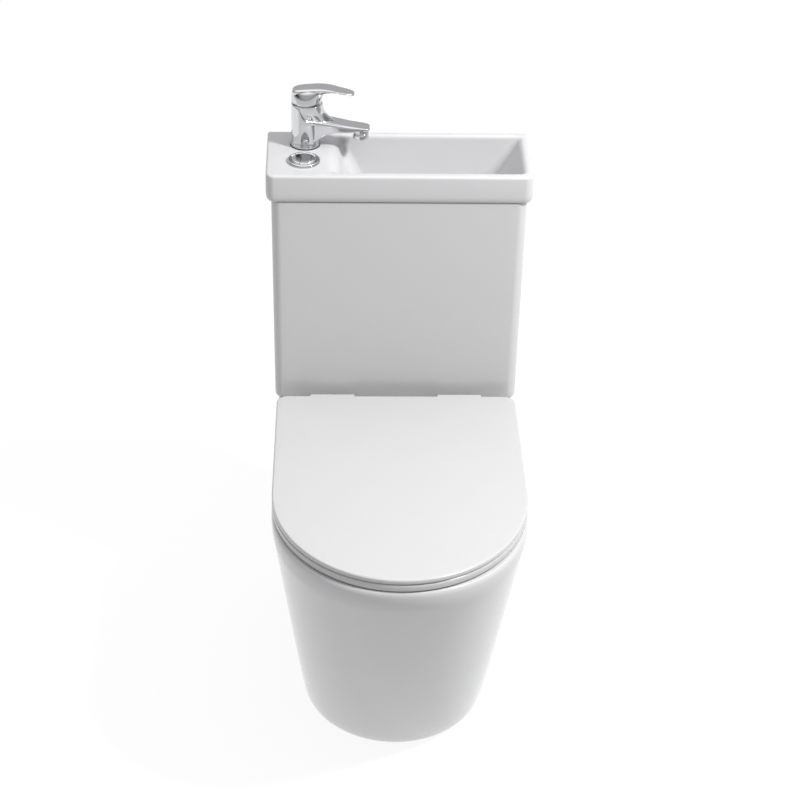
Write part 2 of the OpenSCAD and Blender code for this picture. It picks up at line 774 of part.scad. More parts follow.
// Lever from under a push rod to under a collar, on the axle
module rocker(y, rod_x, lift_x) {
    at(0, y - rocker_t / 2, 0) difference() {
        union() {
            at(axle_x, 0, rocker_z) y_rod(0, rocker_t, 7);
            at(rod_x - 5, 0, rocker_top - 5) cube([lift_x - rod_x + 5, rocker_t, 5]);
        }
        at(axle_x, -1, rocker_z) y_rod(0, rocker_t + 2, axle_r + run_fit);
    }
}

module full_flush_rocker() {
    color("tomato") rocker(full_y, full_rod_x, 0);
}

module half_flush_rocker() {
    color("skyblue") rocker(half_y, half_rod_x, half_lift_x);
}

collar_z = rocker_top + small_gap;

module overflow_tube() {
    color("white") at(0, valve_y, 0) difference() {
        union() {
            at(0, 0, seat_z + small_gap + seal_t)
                cylinder(r = overflow_r, h = collar_z + 22 - seat_z - seal_t);
            at(0, 0, collar_z) cylinder(r = overflow_r + 8, h = 3);
            at(0, 0, seat_z + small_gap + seal_t) cylinder(r = valve_bore_r - 1, h = 3);
        }
        at(0, 0, seat_z) cylinder(r = overflow_r - 2, h = collar_z + 40 - seat_z);
    }
}

module valve_seal() {
    color("dimgray") at(0, valve_y, seat_z + small_gap) tube(valve_bore_r + 4, overflow_r - 2, seal_t);
}

module half_flush_rod() {
    color("skyblue") at(0, half_y, 0) {
        at(0, 0, tower_top - 30) cylinder(r = rod_r, h = collar_z + 12 - tower_top + 30);
        at(0, 0, collar_z) cylinder(r = rod_r + 2, h = 3);
    }
}

// ---- flush buttons ----

sleeve_r = button_r + 2.4;
bezel_h = 4;
bezel_z = overall_h;
button_top = bezel_z + bezel_h + 1.5;
split_r = 60; // radius of the curved line between the buttons
split_x = -4; // that line on the button's centre line
split_gap = 0.5;

module button_bezel() {
    color("silver") at(button_x, button_y, 0) difference() {
        union() {
            rotate_extrude() polygon(concat(
                [[0, bezel_z], [bezel_r, bezel_z]],
                [for (a = [0, 30, 60, 90]) [bezel_r - 3 + 3 * cos(a), bezel_z + 1 + 3 * sin(a)]],
                [[0, bezel_z + bezel_h]]));
            at(0, 0, deck_under - 16) cylinder(r = sleeve_r, h = basin_t + 17);
        }
        at(0, 0, deck_under - 17) cylinder(r = button_r + small_gap, h = basin_t + 40);
    }
}

module button_nut() {
    color("gainsboro") at(button_x, button_y, deck_under - 10) difference() {
        hex(2 * sleeve_r + 12, 10);
        at(0, 0, -1) cylinder(r = sleeve_r + thread_fit, h = 12);
    }
}

module button_disc() {
    at(0, 0, deck_under - 4) cylinder(r = button_r, h = button_top - deck_under + 4);
}

module split_side(r) {
    at(split_x - split_r, 0, deck_under - 10) cylinder(r = r, h = 60, $fn = 96);
}

module full_flush_button() {
    color("silver") at(button_x, button_y, 0) difference() {
        button_disc();
        split_side(split_r + split_gap / 2);
    }
}

module half_flush_button() {
    color("silver") at(button_x, button_y, 0) intersection() {
        button_disc();
        split_side(split_r - split_gap / 2);
    }
}

// Rod from a button down to just above its rocker, with a round tip
module push_rod(x, y) {
    tip = rocker_top + small_gap + rod_r;
    at(x, y, tip) {
        sphere(r = rod_r);
        cylinder(r = rod_r, h = deck_under - 4 - tip);
    }
}

module full_push_rod() {
    color("white") push_rod(full_rod_x, full_y);
}

module half_push_rod() {
    color("white") push_rod(half_rod_x, half_y);
}

// ---- fill valve ----

lever_arm = 24; // lever pin to the float's link
lever_y = fill_y - 17;
lever_t = 2.5;
fork_play = 2.8; // collar's face to the middle of the lever
head_z = rocker_z - 22;
lever_z = head_z + 12;
float_z = head_z - 0.5 - float_travel - float_h; // at its lowest, as in an empty cistern
link_x = fill_x - lever_arm;

module fill_valve_column() {
    inlet_z = cistern_z - inlet_len;
    flange_z = cistern_floor_z + washer_t;
    color("white") at(fill_x, fill_y, 0) difference() {
        union() {
            at(0, 0, inlet_z) cylinder(r = inlet_r, h = flange_z + 1 - inlet_z);
            at(0, 0, flange_z) cylinder(r = inlet_r + 8, h = inlet_nut_h / 2);
            at(0, 0, flange_z + 4) cylinder(r = riser_r, h = head_z - flange_z - 4);
        }
        at(0, 0, inlet_z - 1) cylinder(r = inlet_r / 2, h = head_z - inlet_z - 20);
    }
}

module fill_valve_washer() {
    color("dimgray") at(fill_x, fill_y, cistern_floor_z) tube(inlet_r + 7, inlet_r + small_gap, washer_t);
}

module fill_valve_backnut() {
    color("white") at(fill_x, fill_y, cistern_z - inlet_nut_h)
        hex_nut(2 * inlet_r + 12, inlet_r + thread_fit, inlet_nut_h);
}

module fill_valve_head() {
    color("lightsteelblue") at(fill_x, fill_y, 0) difference() {
        union() {
            at(0, 0, head_z) cylinder(r = riser_r + 3, h = 24);
            at(0, 0, lever_z) y_rod(lever_y - fill_y + 2 + small_gap, -6, 5);
            at(-5, -14, head_z + 4) cube([10, 10, 12]);
        }
        at(0, 0, lever_z) y_rod(lever_y - fill_y - 1, -10, 2 + run_fit);
    }
}

module float_cup() {
    color("skyblue") difference() {
        union() {
            at(fill_x, fill_y, float_z) cylinder(r = float_r, h = float_h);
            at(link_x, lever_y, float_z + float_h - 1)
                cylinder(r = 1.5, h = lever_z + 12 - float_z - float_h);
            for (z = [lever_z - fork_play - 2, lever_z + fork_play])
                at(link_x, lever_y, z) cylinder(r = 2.8, h = 2);
        }
        at(fill_x, fill_y, float_z - 1) cylinder(r = riser_r + run_fit, h = float_h + 2);
        // the cup is open at the bottom and traps air
        at(fill_x, fill_y, float_z - 1) tube(float_r - 2, riser_r + 3, float_h - 2);
    }
}

module float_lever() {
    fork_x = -lever_arm + 6;
    color("tomato") at(fill_x, lever_y, lever_z) difference() {
        union() {
            y_rod(-2, 2, 5);
            at(fork_x, -2, -lever_t / 2) cube([-fork_x, 4, lever_t]);
            at(-lever_arm - 5, -3.2, -lever_t / 2) cube([fork_x + lever_arm + 6, 6.4, lever_t]);
        }
        y_rod(-4, 4, 2 + run_fit);
        at(-lever_arm - 6, -1.5 - small_gap, -3) cube([10.5, 3 + 2 * small_gap, 6]);
    }
}

module float_lever_pin() {
    color("silver") at(fill_x, 0, lever_z) y_rod(lever_y - 3, fill_y - 10.5, 2);
}

// ---- basin waste ----

waste_x = 46;
waste_y = lerp(basin_front + basin_front_rim, wall_y - basin_rear_rim, 0.5);

module waste_flange() {
    color("silver") at(waste_x, waste_y, 0) difference() {
        union() {
            at(0, 0, bowl_floor_z) cylinder(r1 = waste_r, r2 = waste_r - 3, h = 2.5);
            at(0, 0, bowl_under_z - waste_len) cylinder(r = waste_tail_r, h = waste_len + basin_wall + 1);
        }
        at(0, 0, bowl_under_z - waste_len - 1) cylinder(r = waste_tail_r - 2, h = waste_len + basin_wall);
        cylinder(r = 3.5, h = overall_h);
        for (a = [0:60:300]) rotate([0, 0, a]) at(11, 0, 0) cylinder(r = 3.5, h = overall_h);
    }
}

module waste_washer() {
    color("dimgray") at(waste_x, waste_y, bowl_under_z - 3)
        tube(waste_tail_r + 9, waste_tail_r + small_gap, 3);
}

module waste_nut() {
    color("silver") at(waste_x, waste_y, bowl_under_z - 11)
        hex_nut(2 * waste_tail_r + 12, waste_tail_r + thread_fit, 8);
}

// ---- tap ----

seal_h = 1;
tap_z = overall_h + seal_h; // underside of the tap's body
neck_z = overall_h + tap_body_h;
neck_r = 16;
neck_h = 9;
groove_h = 3.8; // room under the handle's rear edge when it tilts
hub_z = neck_z + groove_h; // lower edge of the handle, and the height of its tilt axis
tilt_x = -6; // tilt axis behind the tap's own axis
cart_r = 14.5;
cart_z = hub_z - 30;
cart_top = hub_z - 5;
yoke_r = 11.5;
stem_w = 8;
stem_top = 16; // stem's upper end above the tilt axis
stud_y = -8;
stud_len = 40; // stud below the basin's deck
tail_x = 7.5;
tail_y = 6;
aerator_x = spout_reach - 13;
aerator_plug_r = aerator_r - 2;
way_z = overall_h + spout_h + 4.5; // height of the water way through the spout
way_r = 2.5;
root_x = 6; // centre of the column's oval side, towards the spout
root_r = 19.3;

// Spout as oval rings along X: [x, half width, bottom, top]
spout_rings = [[0, 17, 8, 44], [14, 17.5, 10, 44], [22, 17.3, spout_h - 9, 43],
    [32, 16.8, spout_h - 3, 41.5], [42, 16.2, spout_h - 0.5, 38.8], [54, 15.4, spout_h, 36],
    [66, 14.3, spout_h, 33.5], [72, 13.8, spout_h + 2, 32.6], [spout_reach - 6, 12.3, spout_h + 2.5, 29.8],
    [spout_reach - 1.5, 10.5, spout_h + 3, 28.8], [spout_reach, 8, spout_h + 3.5, 28]];
// Web that sweeps from the column down onto the spout, in the same terms
web_rings = [[8, 15, 30, 64], [22, 15, 30, 64], [25, 13.5, 30, 60], [27.5, 12, 30, 53.5],
    [31, 10.5, 30, 47], [36, 9, 30, 42.5], [44, 7, 30, 38]];

// Closed oval around a centre, squarer as power falls below 1
function oval(half_u, half_v, power) =
    [for (k = [0:27]) let (a = k * 360 / 28, c = cos(a), s = sin(a))
        [half_u * sign(c) * pow(abs(c), power), half_v * sign(s) * pow(abs(s), power)]];

// Skin through ovals that stand across X, each given as [x, half width, bottom, top]; foot is the
// share of its width that an oval keeps at its lower side
module x_ovals(rings, power, foot) {
    skin([for (r = rings)
        let (half = (r[3] - r[2]) / 2)
        [for (p = oval(r[1], half, power))
            [r[0], p[0] * lerp(foot, 1, (1 + p[1] / half) / 2), r[2] + half + p[1]]]]);
}

module tap_body() {
    boss_h = spout_h - 2;
    color("silver") at(tap_x, tap_y, 0) difference() {
        union() {
            rotate_extrude() polygon([
                [0, tap_z], [tap_r, tap_z], [tap_r, tap_z + 2], [tap_r - 0.6, tap_z + 5],
                [tap_r - 1.9, neck_z - 1], [tap_r - 2.5, neck_z], [neck_r, neck_z],
                [neck_r, neck_z + neck_h], [0, neck_z + neck_h]]);
            at(root_x, 0, overall_h + boss_h) cylinder(r = root_r, h = neck_z - overall_h - boss_h);
            at(0, 0, overall_h) {
                x_ovals(spout_rings, 0.42, 0.9);
                x_ovals(web_rings, 0.7, 1);
            }
            at(aerator_x, 0, overall_h + boss_h) cylinder(r = aerator_r + 0.2, h = 7.5);
        }
        at(0, 0, cart_z) cylinder(r = cart_r, h = 60);
        // water way from the cartridge's seat to the aerator
        at(cart_r - way_r - 2, 0, way_z) cylinder(r = way_r, h = cart_z - way_z + 1);
        at(0, 0, way_z) x_rod(cart_r - 7, aerator_x + 1, way_r);
        at(aerator_x, 0, overall_h + boss_h - 1) cylinder(r = aerator_plug_r + thread_fit, h = 7.2);
        at(0, stud_y, tap_z - 1) cylinder(r = bolt_r + thread_fit, h = 19);
        for (s = [-1, 1]) at(s * tail_x, tail_y, tap_z - 1) cylinder(r = tail_r + thread_fit, h = 19);
    }
}

module tap_base_seal() {
    color("dimgray") at(tap_x, tap_y, overall_h) tube(tap_r + 0.6, tap_hole_r - 1, seal_h);
}

module aerator() {
    color("silver") at(tap_x + aerator_x, tap_y, overall_h + spout_h - 2) difference() {
        union() {
            at(0, 0, -9.5) cylinder(r = aerator_r, h = 9);
            at(0, 0, -1) cylinder(r = aerator_plug_r, h = 6);
        }
        at(0, 0, -10.5) cylinder(r = aerator_r - 2, h = 6);
        at(0, 0, -6) cylinder(r = 3.5, h = 16);
    }
}

module tap_cartridge() {
    color("gainsboro") at(tap_x, tap_y, 0) difference() {
        at(0, 0, cart_z) cylinder(r = cart_r - thread_fit, h = cart_top - cart_z);
        at(0, 0, cart_z + 14) cylinder(r = yoke_r + run_fit, h = 40);
    }
}

module cartridge_nut() {
    color("goldenrod") at(tap_x, tap_y, cart_top)
        tube(cart_r - thread_fit, yoke_r + run_fit, neck_z + neck_h - cart_top);
}

module cartridge_yoke() {
    yoke_z = cart_z + 14 + small_gap;
    color("gray") at(tap_x, tap_y, 0) difference() {
        at(0, 0, yoke_z) cylinder(r = yoke_r, h = hub_z + 5 - yoke_z);
        at(-yoke_r - 1, -stem_w / 2 - small_gap, hub_z - 9) cube([yoke_r + 8, stem_w + 2 * small_gap, 40]);
        at(tilt_x, 0, hub_z) y_rod(-yoke_r, yoke_r, 1.5 + run_fit);
    }
}

module yoke_pin() {
    color("silver") at(tap_x + tilt_x, tap_y, hub_z) y_rod(-7.6, 7.6, 1.5);
}

module cartridge_stem() {
    color("goldenrod") at(tap_x + tilt_x, tap_y, hub_z) difference() {
        at(-3, -stem_w / 2, -6) cube([stem_w, stem_w, stem_top + 6]);
        y_rod(-6, 6, 1.5 + run_fit);
    }
}

cap_t = 2; // thickness of the grub screw's cap

// Hub of the handle as level ovals: [height above its lower edge, left, right, half depth]
hub_levels = [[0, -hub_r, hub_r + 4.3, hub_r - 0.2], [5, -hub_r, hub_r + 5, hub_r - 0.7],
    [10, -hub_r + 0.3, hub_r + 6.8, hub_r - 1.7], [15, -hub_r + 2, hub_r + 9, hub_r - 3.7],
    [19, -hub_r + 5, hub_r + 8.5, hub_r - 6.5]];
// Lever as ovals that stand across X: [x, half width, bottom, top]
lever_rings = [[-19.5, 6, 8, 15], [-17, 10, 6, 18], [-12, 13, 6, 19.8], [-2, 14.8, 8, 21.2],
    [10, 15, 10, 22], [20, 15, 12, 22.4], [30, 14.8, 13.5, 21.8], [40, 14.2, 14.3, 20],
    [50, 13.2, 12.3, 17.4], [lever_reach - 11, 11.8, 10.5, 15.2], [lever_reach - 4, 9.5, 9, 13.8],
    [lever_reach, 6, 9.3, 12.5]];

module tap_handle() {
    color("silver") at(tap_x, tap_y, hub_z) difference() {
        union() {
            skin([for (l = hub_levels) [for (p = oval((l[2] - l[1]) / 2, l[3], 1))
                [(l[1] + l[2]) / 2 + p[0], p[1], l[0]]]]);
            x_ovals(lever_rings, 0.5, 0.62);
        }
        // room over the neck, deeper at the left, where the tilted handle comes down
        at(0, 0, -1) cylinder(r = neck_r + 1.1, h = 7.2);
        at(-2, 0, -1) cylinder(r = neck_r, h = 10);
        at(tilt_x - 3 - run_fit, -stem_w / 2 - run_fit, 8)
            cube([stem_w + 2 * run_fit, stem_w + 2 * run_fit, stem_top + 0.5 - 8]);
        cap_hole() x_rod(-cap_t, 20, 2.6);
    }
}

// Where the grub screw's cap sits, in the hub's front right side
module cap_hole() {
    rotate([0, 0, -30]) at(hub_r + 4.2, 0, 12.5) children();
}

module handle_screw_cap() {
    color("gray") at(tap_x, tap_y, hub_z) cap_hole() x_rod(-cap_t, -0.4, 2.55);
}

module tap_stud() {
    color("goldenrod") at(tap_x, tap_y + stud_y, deck_under - stud_len)
        cylinder(r = bolt_r, h = tap_z + 17 - deck_under + stud_len);
}

module tap_horseshoe() {
    color("gray") at(tap_x, tap_y, deck_under - 3) difference() {
        cylinder(r = 21, h = 3);
        at(0, stud_y, -1) cylinder(r = bolt_r + small_gap, h = 5);
        at(-tail_x - tail_r - 1, tail_y - tail_r - 1, -1) cube([2 * (tail_x + tail_r + 1), 40, 5]);
    }
}

module tap_nut() {
    color("goldenrod") at(tap_x, tap_y + stud_y, deck_under - 10) hex_nut(11, bolt_r + thread_fit, 7);
}

module tap_tails() {
    color("peru") for (s = [-1, 1])
        at(tap_x + s * tail_x, tap_y + tail_y, overall_h - tail_len) difference() {
            cylinder(r = tail_r, h = tail_len + seal_h + 17);
            at(0, 0, -1) cylinder(r = tail_r - 1, h = tail_len + seal_h + 10);
        }
}

// ---- floor fixings ----

// Half width of the skirt's inner face where the side screws pass
side_y = wall_y - side_screw_to_wall;
function skirt_half(z) =
    let (t = z / shoulder_h, s = pow(t, front_bow), m = lerp(mid_foot, mid_rim, s))
    lerp(lerp(foot_w, pan_w, t), lerp(foot_rear_w, pan_rear_w, t), (side_y - m) / (wall_y - 8 - m)) / 2;
bracket_x = skirt_half(side_screw_h - 16) - pan_wall - 4;
bracket_t = 3;
bracket_w = 40;
bracket_reach = 45;
side_screw_r = 3;

module floor_brackets() {
    color("silver") both_sides() difference() {
        union() {
            at(bracket_x - bracket_t, side_y - bracket_w / 2, 0)
                cube([bracket_t, bracket_w, side_screw_h + 14]);
            at(bracket_x - bracket_reach, side_y - bracket_w / 2, 0)
                cube([bracket_reach, bracket_w, bracket_t]);
        }
        at(bracket_x - 0.6 * bracket_reach, side_y, -1) cylinder(r = floor_hole_r, h = bracket_t + 2);
        at(0, side_y, side_screw_h) x_rod(bracket_x - 5, bracket_x + 2, side_screw_r + thread_fit);
    }
}

module bracket_screws() {
    color("silver") both_sides() at(0, side_y, side_screw_h)
        x_rod(bracket_x - 12, skirt_half(side_screw_h) - 2, side_screw_r);
}

module screw_caps() {
    half = skirt_half(side_screw_h);
    color("silver") both_sides() at(0, side_y, side_screw_h) {
        x_rod(half - 2, half + 2, 4.4);
        x_rod(half + 1, half + 3, 8);
    }
}

pan();
pan_bowl();
pan_waterway();
cistern();
basin();
seat_ring();
seat_lid();
ring_buffers();
lid_buffers();
hinge_posts();
hinge_pins();
hinge_bolts();
hinge_nuts();
coupling_gasket();
cistern_bolts();
bolt_washers();
cistern_wing_nuts();
flush_valve_base();
flush_valve_washer();
flush_valve_backnut();
flush_valve_tower();
rocker_axle();
full_flush_rocker();
half_flush_rocker();
overflow_tube();
valve_seal();
half_flush_rod();
button_bezel();
button_nut();
full_flush_button();
half_flush_button();
full_push_rod();
half_push_rod();
fill_valve_column();
fill_valve_washer();
fill_valve_backnut();
fill_valve_head();
float_cup();
float_lever();
float_lever_pin();
waste_flange();
waste_washer();
waste_nut();
tap_body();
tap_base_seal();
aerator();
tap_cartridge();
cartridge_nut();
cartridge_yoke();
yoke_pin();
cartridge_stem();
tap_handle();
handle_screw_cap();
tap_stud();
tap_horseshoe();
tap_nut();
tap_tails();
floor_brackets();
bracket_screws();
screw_caps();
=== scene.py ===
"""Looks of the toilet with a basin on its cistern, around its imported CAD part."""
import json
import math

import bmesh
import bpy
from mathutils import Matrix, Vector


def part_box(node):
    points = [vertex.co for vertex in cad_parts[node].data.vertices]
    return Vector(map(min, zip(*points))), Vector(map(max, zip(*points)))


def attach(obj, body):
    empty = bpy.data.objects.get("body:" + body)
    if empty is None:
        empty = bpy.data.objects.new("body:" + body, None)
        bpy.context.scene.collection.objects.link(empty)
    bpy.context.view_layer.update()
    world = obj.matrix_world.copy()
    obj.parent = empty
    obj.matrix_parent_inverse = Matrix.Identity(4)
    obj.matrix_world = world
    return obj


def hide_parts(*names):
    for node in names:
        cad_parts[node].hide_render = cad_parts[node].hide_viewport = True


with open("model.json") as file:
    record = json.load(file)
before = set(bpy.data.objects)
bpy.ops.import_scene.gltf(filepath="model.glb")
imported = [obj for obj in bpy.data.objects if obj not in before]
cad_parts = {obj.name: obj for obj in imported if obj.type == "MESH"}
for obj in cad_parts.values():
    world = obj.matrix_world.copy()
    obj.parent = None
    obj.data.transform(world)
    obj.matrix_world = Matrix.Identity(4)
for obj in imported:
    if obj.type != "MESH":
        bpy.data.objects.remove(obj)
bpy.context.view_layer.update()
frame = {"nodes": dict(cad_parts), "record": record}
SCENE = bpy.context.scene
MM = 0.001


def cad_box(node):
    """Lowest and highest corner of a CAD node, in millimetres."""
    return [[round(value / MM, 3) for value in corner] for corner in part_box(node)]


def cad_middle(node):
    """Middle of a CAD node's box, in millimetres."""
    return [round((low + high) / 2, 3) for low, high in zip(*cad_box(node))]


# ---------- places and sizes read from the CAD part, in millimetres ----------
pan_low, pan_high = cad_box("pan")
lid_low, lid_high = cad_box("seat_lid")
cistern_low, cistern_high = cad_box("cistern")
basin_low, basin_high = cad_box("basin")

WALL_Y = pan_high[1]
PAN_FRONT = pan_low[1]
PAN_W = pan_high[0] - pan_low[0]
RIM_Z = pan_high[2]
SEAT_FRONT = lid_low[1]
SEAT_W = lid_high[0] - lid_low[0]
RING_Z = cad_box("seat_ring")[0][2]
LID_TOP = lid_high[2]
HINGE_Y, HINGE_Z = cad_middle("hinge_pins")[1:]
CISTERN_W = cistern_high[0] - cistern_low[0]
CISTERN_FRONT = cistern_low[1]
CISTERN_Z, CISTERN_TOP = cistern_low[2], cistern_high[2]
FLUSH_X, FLUSH_Y = cad_middle("flush_valve_base")[:2]
FILL_X, FILL_Y = cad_middle("fill_valve_backnut")[:2]
BASIN_W = basin_high[0] - basin_low[0]
BASIN_FRONT = basin_low[1]
BASIN_Z, BASIN_UNDER = basin_high[2], basin_low[2]
APRON_Z = CISTERN_TOP
TAP_X, TAP_Y = cad_middle("tap_cartridge")[:2]
TAP_TOP = cad_box("tap_body")[1][2]
AERATOR_X = cad_middle("aerator")[0]
HUB_Z = cad_box("tap_handle")[0][2]
BUTTON_X, BUTTON_Y = cad_middle("button_bezel")[:2]
WASTE_X, WASTE_Y = cad_middle("waste_flange")[:2]

# ---------- sizes that the boxes don't give, in millimetres ----------
# pan: the middle is where the half ellipse of its front begins
SHOULDER_Z = RIM_Z - 20.0
DECK_UNDER = RIM_Z - 14.0
PAN_WALL = 12.0
PAN_CORNER = 8.0
PAN_REAR_W, FOOT_W, FOOT_REAR_W = 348.0, 272.0, 256.0
FOOT_SETBACK = 179.0
FRONT_BOW = 0.8
FOOT_MIDDLE, RIM_MIDDLE = 18.0, -107.0
RIM_SQUARENESS = 0.085
RIM_INSET, RIM_ROLL = 4.0, 8.0
FOOT_EDGE = 2.0
FRONT_RIM = 38.0
# bowl, from its mouth to its sump
BOWL_DEPTH = 308.0
BOWL_CURVE = 1.8
MOUTH_W, SUMP_W = 280.0, 96.0
MOUTH_MIDDLE, SUMP_MIDDLE = -100.0, -22.0
MOUTH_BACK, SUMP_BACK = 90.0, 44.0
MOUTH_CORNER, SUMP_CORNER = 110.0, 50.0
SUMP_FRONT = -70.0
# flush chamber behind the bowl, its way into the bowl, trapway and outlet
CHAMBER_HALF, CHAMBER_Z, CHAMBER_CORNER = 58.0, 322.0, 14.0
CHAMBER_FRONT, CHAMBER_BACK = 178.0, 294.0
FLUSH_WAY_Z, FLUSH_WAY_BORE, FLUSH_WAY_R = 352.0, 19.0, 26.0
TRAP_IN_Z, TRAP_BORE, TRAP_R = 128.0, 27.0, 35.0
OUTLET_Z, OUTLET_BORE, OUTLET_R = 185.0, 42.0, 51.0
OUTLET_FRONT, OUTLET_END = 261.0, 305.0
# opening in the pan's rear edge, open to the floor
REAR_HALF, REAR_TOP, REAR_CUT, REAR_CORNER = 100.0, 330.0, 16.0, 10.0
# seat
RING_T, LID_T = 10.0, 7.0
LID_Z = LID_TOP - LID_T
SEAT_MIDDLE = -107.0
SEAT_CORNER = 16.0
FRONT_TRIM = 2.5
RING_BACK = 106.0
RING_SIDE, RING_FRONT, RING_REAR = 70.0, 66.0, 58.0
EDGE_R = 3.0
# hinges: the ring's arms and barrels, the lid's barrels, and the lid's ears, which cover them all
ARM_LEFT, ARM_RIGHT, ARM_FRONT, ARM_BARREL_R = 93.0, 109.0, 98.0, 7.0
EAR_LEFT, EAR_RIGHT, EAR_CHAMFER = 62.0, 128.0, 0.6
LID_BARREL_LEFT, LID_BARREL_RIGHT, LID_BARREL_R = 110.0, 127.8, 9.9
# cistern
CISTERN_FOOT_W = 362.0
CISTERN_LEAN = 3.0
CISTERN_WALL = 8.0
CISTERN_CORNER, CISTERN_REAR_CORNER = 14.0, 6.0
CHANNEL_LEFT, CHANNEL_RIGHT, CHANNEL_FRONT = -160.0, -112.0, 250.0
CHANNEL_BACK = 312.0
FLUSH_HOLE_R, FILL_HOLE_R = 32.5, 9.0
WALL_SCREW_X, WALL_SCREW_Z, WALL_SCREW_R = 70.0, 698.0, 3.5
# basin, and its bowl, whose sides lean in by so much over its depth while its corners grow rounder
BASIN_CORNER, BASIN_REAR_CORNER = 13.0, 4.0
APRON_WALL = 11.0
SINK_DEPTH = 80.0
SINK_LEFT, SINK_RIGHT, SINK_FRONT, SINK_BACK = 102.0, 11.0, 15.0, 13.0
LEFT_LEAN, RIGHT_LEAN, FRONT_LEAN, BACK_LEAN = 30.0, 58.0, 14.0, 16.0
SINK_CORNER, FRONT_SOFTENING, BACK_SOFTENING = 8.0, 20.0, 18.0
SINK_WALL = 8.0
ROLL_R, SINK_EDGE_R, FLOOR_R = 15.0, 4.0, 13.0
TAP_HOLE_R, BUTTON_HOLE_R, WASTE_HOLE_R = 17.5, 20.4, 23.0
# tap
COLUMN_R = 20.35
SEAM_H = 9.0
TAP_CORE_R, TAP_SEAM_R = 18.0, 16.0
GRUB_ANGLE, GRUB_HOLE_R, GRUB_H = math.radians(-30), 2.6, 12.5
NUT_ROOM_R, NUT_ROOM_H = 17.1, 6.2
YOKE_ROOM_R, YOKE_ROOM_H = 16.0, 9.0
# flush button: its dividing line is an arc round a point well to its left
SPLIT_R, SPLIT_GAP, SPLIT_AWAY = 60.0, 0.3, 64.0

# largest angle between two faces that are shaded as one
SOFT, SOFTER, SOFTEST = 38.0, 50.0, 60.0
CAD_SOFT = 30.0
# points closer than this are one point, in millimetres
MERGE = 0.001


# ---------- materials ----------
def add_node(tree, kind, values=None, links=None, **settings):
    """A new shader node with its settings, the values of its inputs and the outputs that feed them."""
    node = tree.nodes.new(kind)
    for name, setting in settings.items():
        setattr(node, name, setting)
    for socket, value in (values or {}).items():
        node.inputs[socket].default_value = value
    for socket, source in (links or {}).items():
        tree.links.new(source, node.inputs[socket])
    return node


def new_material(name, color, rough, metal=0.0, ior=1.5, coat=0.0, specks=0.015, rough_var=0.03,
                 scale=30.0, bump=0.02, bump_scale=60.0, bump_distance=0.0004, edge=0.0):
    """Procedural finish: two noises vary its colour and roughness, a third gives a faint bump.

    edge is the radius in metres by which the shading rounds a CAD node's sharp edges.
    """
    material = bpy.data.materials.new(name)
    material.use_nodes = True
    tree = material.node_tree
    tree.nodes.clear()
    place = add_node(tree, "ShaderNodeTexCoord").outputs["Object"]

    tone = add_node(tree, "ShaderNodeTexNoise", {"Scale": scale, "Detail": 3.0}, {"Vector": place})
    ramp = add_node(tree, "ShaderNodeValToRGB", links={"Fac": tone.outputs["Fac"]})
    low, high = ramp.color_ramp.elements
    low.position, high.position = 0.35, 0.65
    low.color = [max(0.0, c * (1 - specks)) for c in color] + [1]
    high.color = [min(1.0, c * (1 + specks)) for c in color] + [1]

    wear = add_node(tree, "ShaderNodeTexNoise", {"Scale": scale * 2.3, "Detail": 4.0}, {"Vector": place})
    spread = add_node(tree, "ShaderNodeMapRange",
                      {"From Min": 0.3, "From Max": 0.7,
                       "To Min": max(0.0, rough - rough_var), "To Max": rough + rough_var},
                      {"Value": wear.outputs["Fac"]})

    fine = add_node(tree, "ShaderNodeTexNoise", {"Scale": bump_scale, "Detail": 2.0}, {"Vector": place})
    relief = add_node(tree, "ShaderNodeBump", {"Strength": bump, "Distance": bump_distance},
                      {"Height": fine.outputs["Fac"]})
    if edge:
        soft = add_node(tree, "ShaderNodeBevel", {"Radius": edge})
        tree.links.new(soft.outputs["Normal"], relief.inputs["Normal"])

    shader = add_node(tree, "ShaderNodeBsdfPrincipled",
                      {"Metallic": metal, "IOR": ior, "Coat Weight": coat, "Coat Roughness": 0.05},
                      {"Base Color": ramp.outputs["Color"], "Roughness": spread.outputs["Result"],
                       "Normal": relief.outputs["Normal"]})
    add_node(tree, "ShaderNodeOutputMaterial", links={"Surface": shader.outputs["BSDF"]})
    return material


def new_metal(name, color, rough, specks, edge=0.0004):
    """Bare metal of the fixings and the tap's tails."""
    return new_material(name, color, rough, metal=1.0, specks=specks, bump=0.06, bump_scale=300, edge=edge)


def new_plastic(name, color):
    """Moulded plastic of the parts inside the cistern and the caps."""
    return new_material(name, color, 0.38, bump=0.08, bump_scale=220, edge=0.0005)


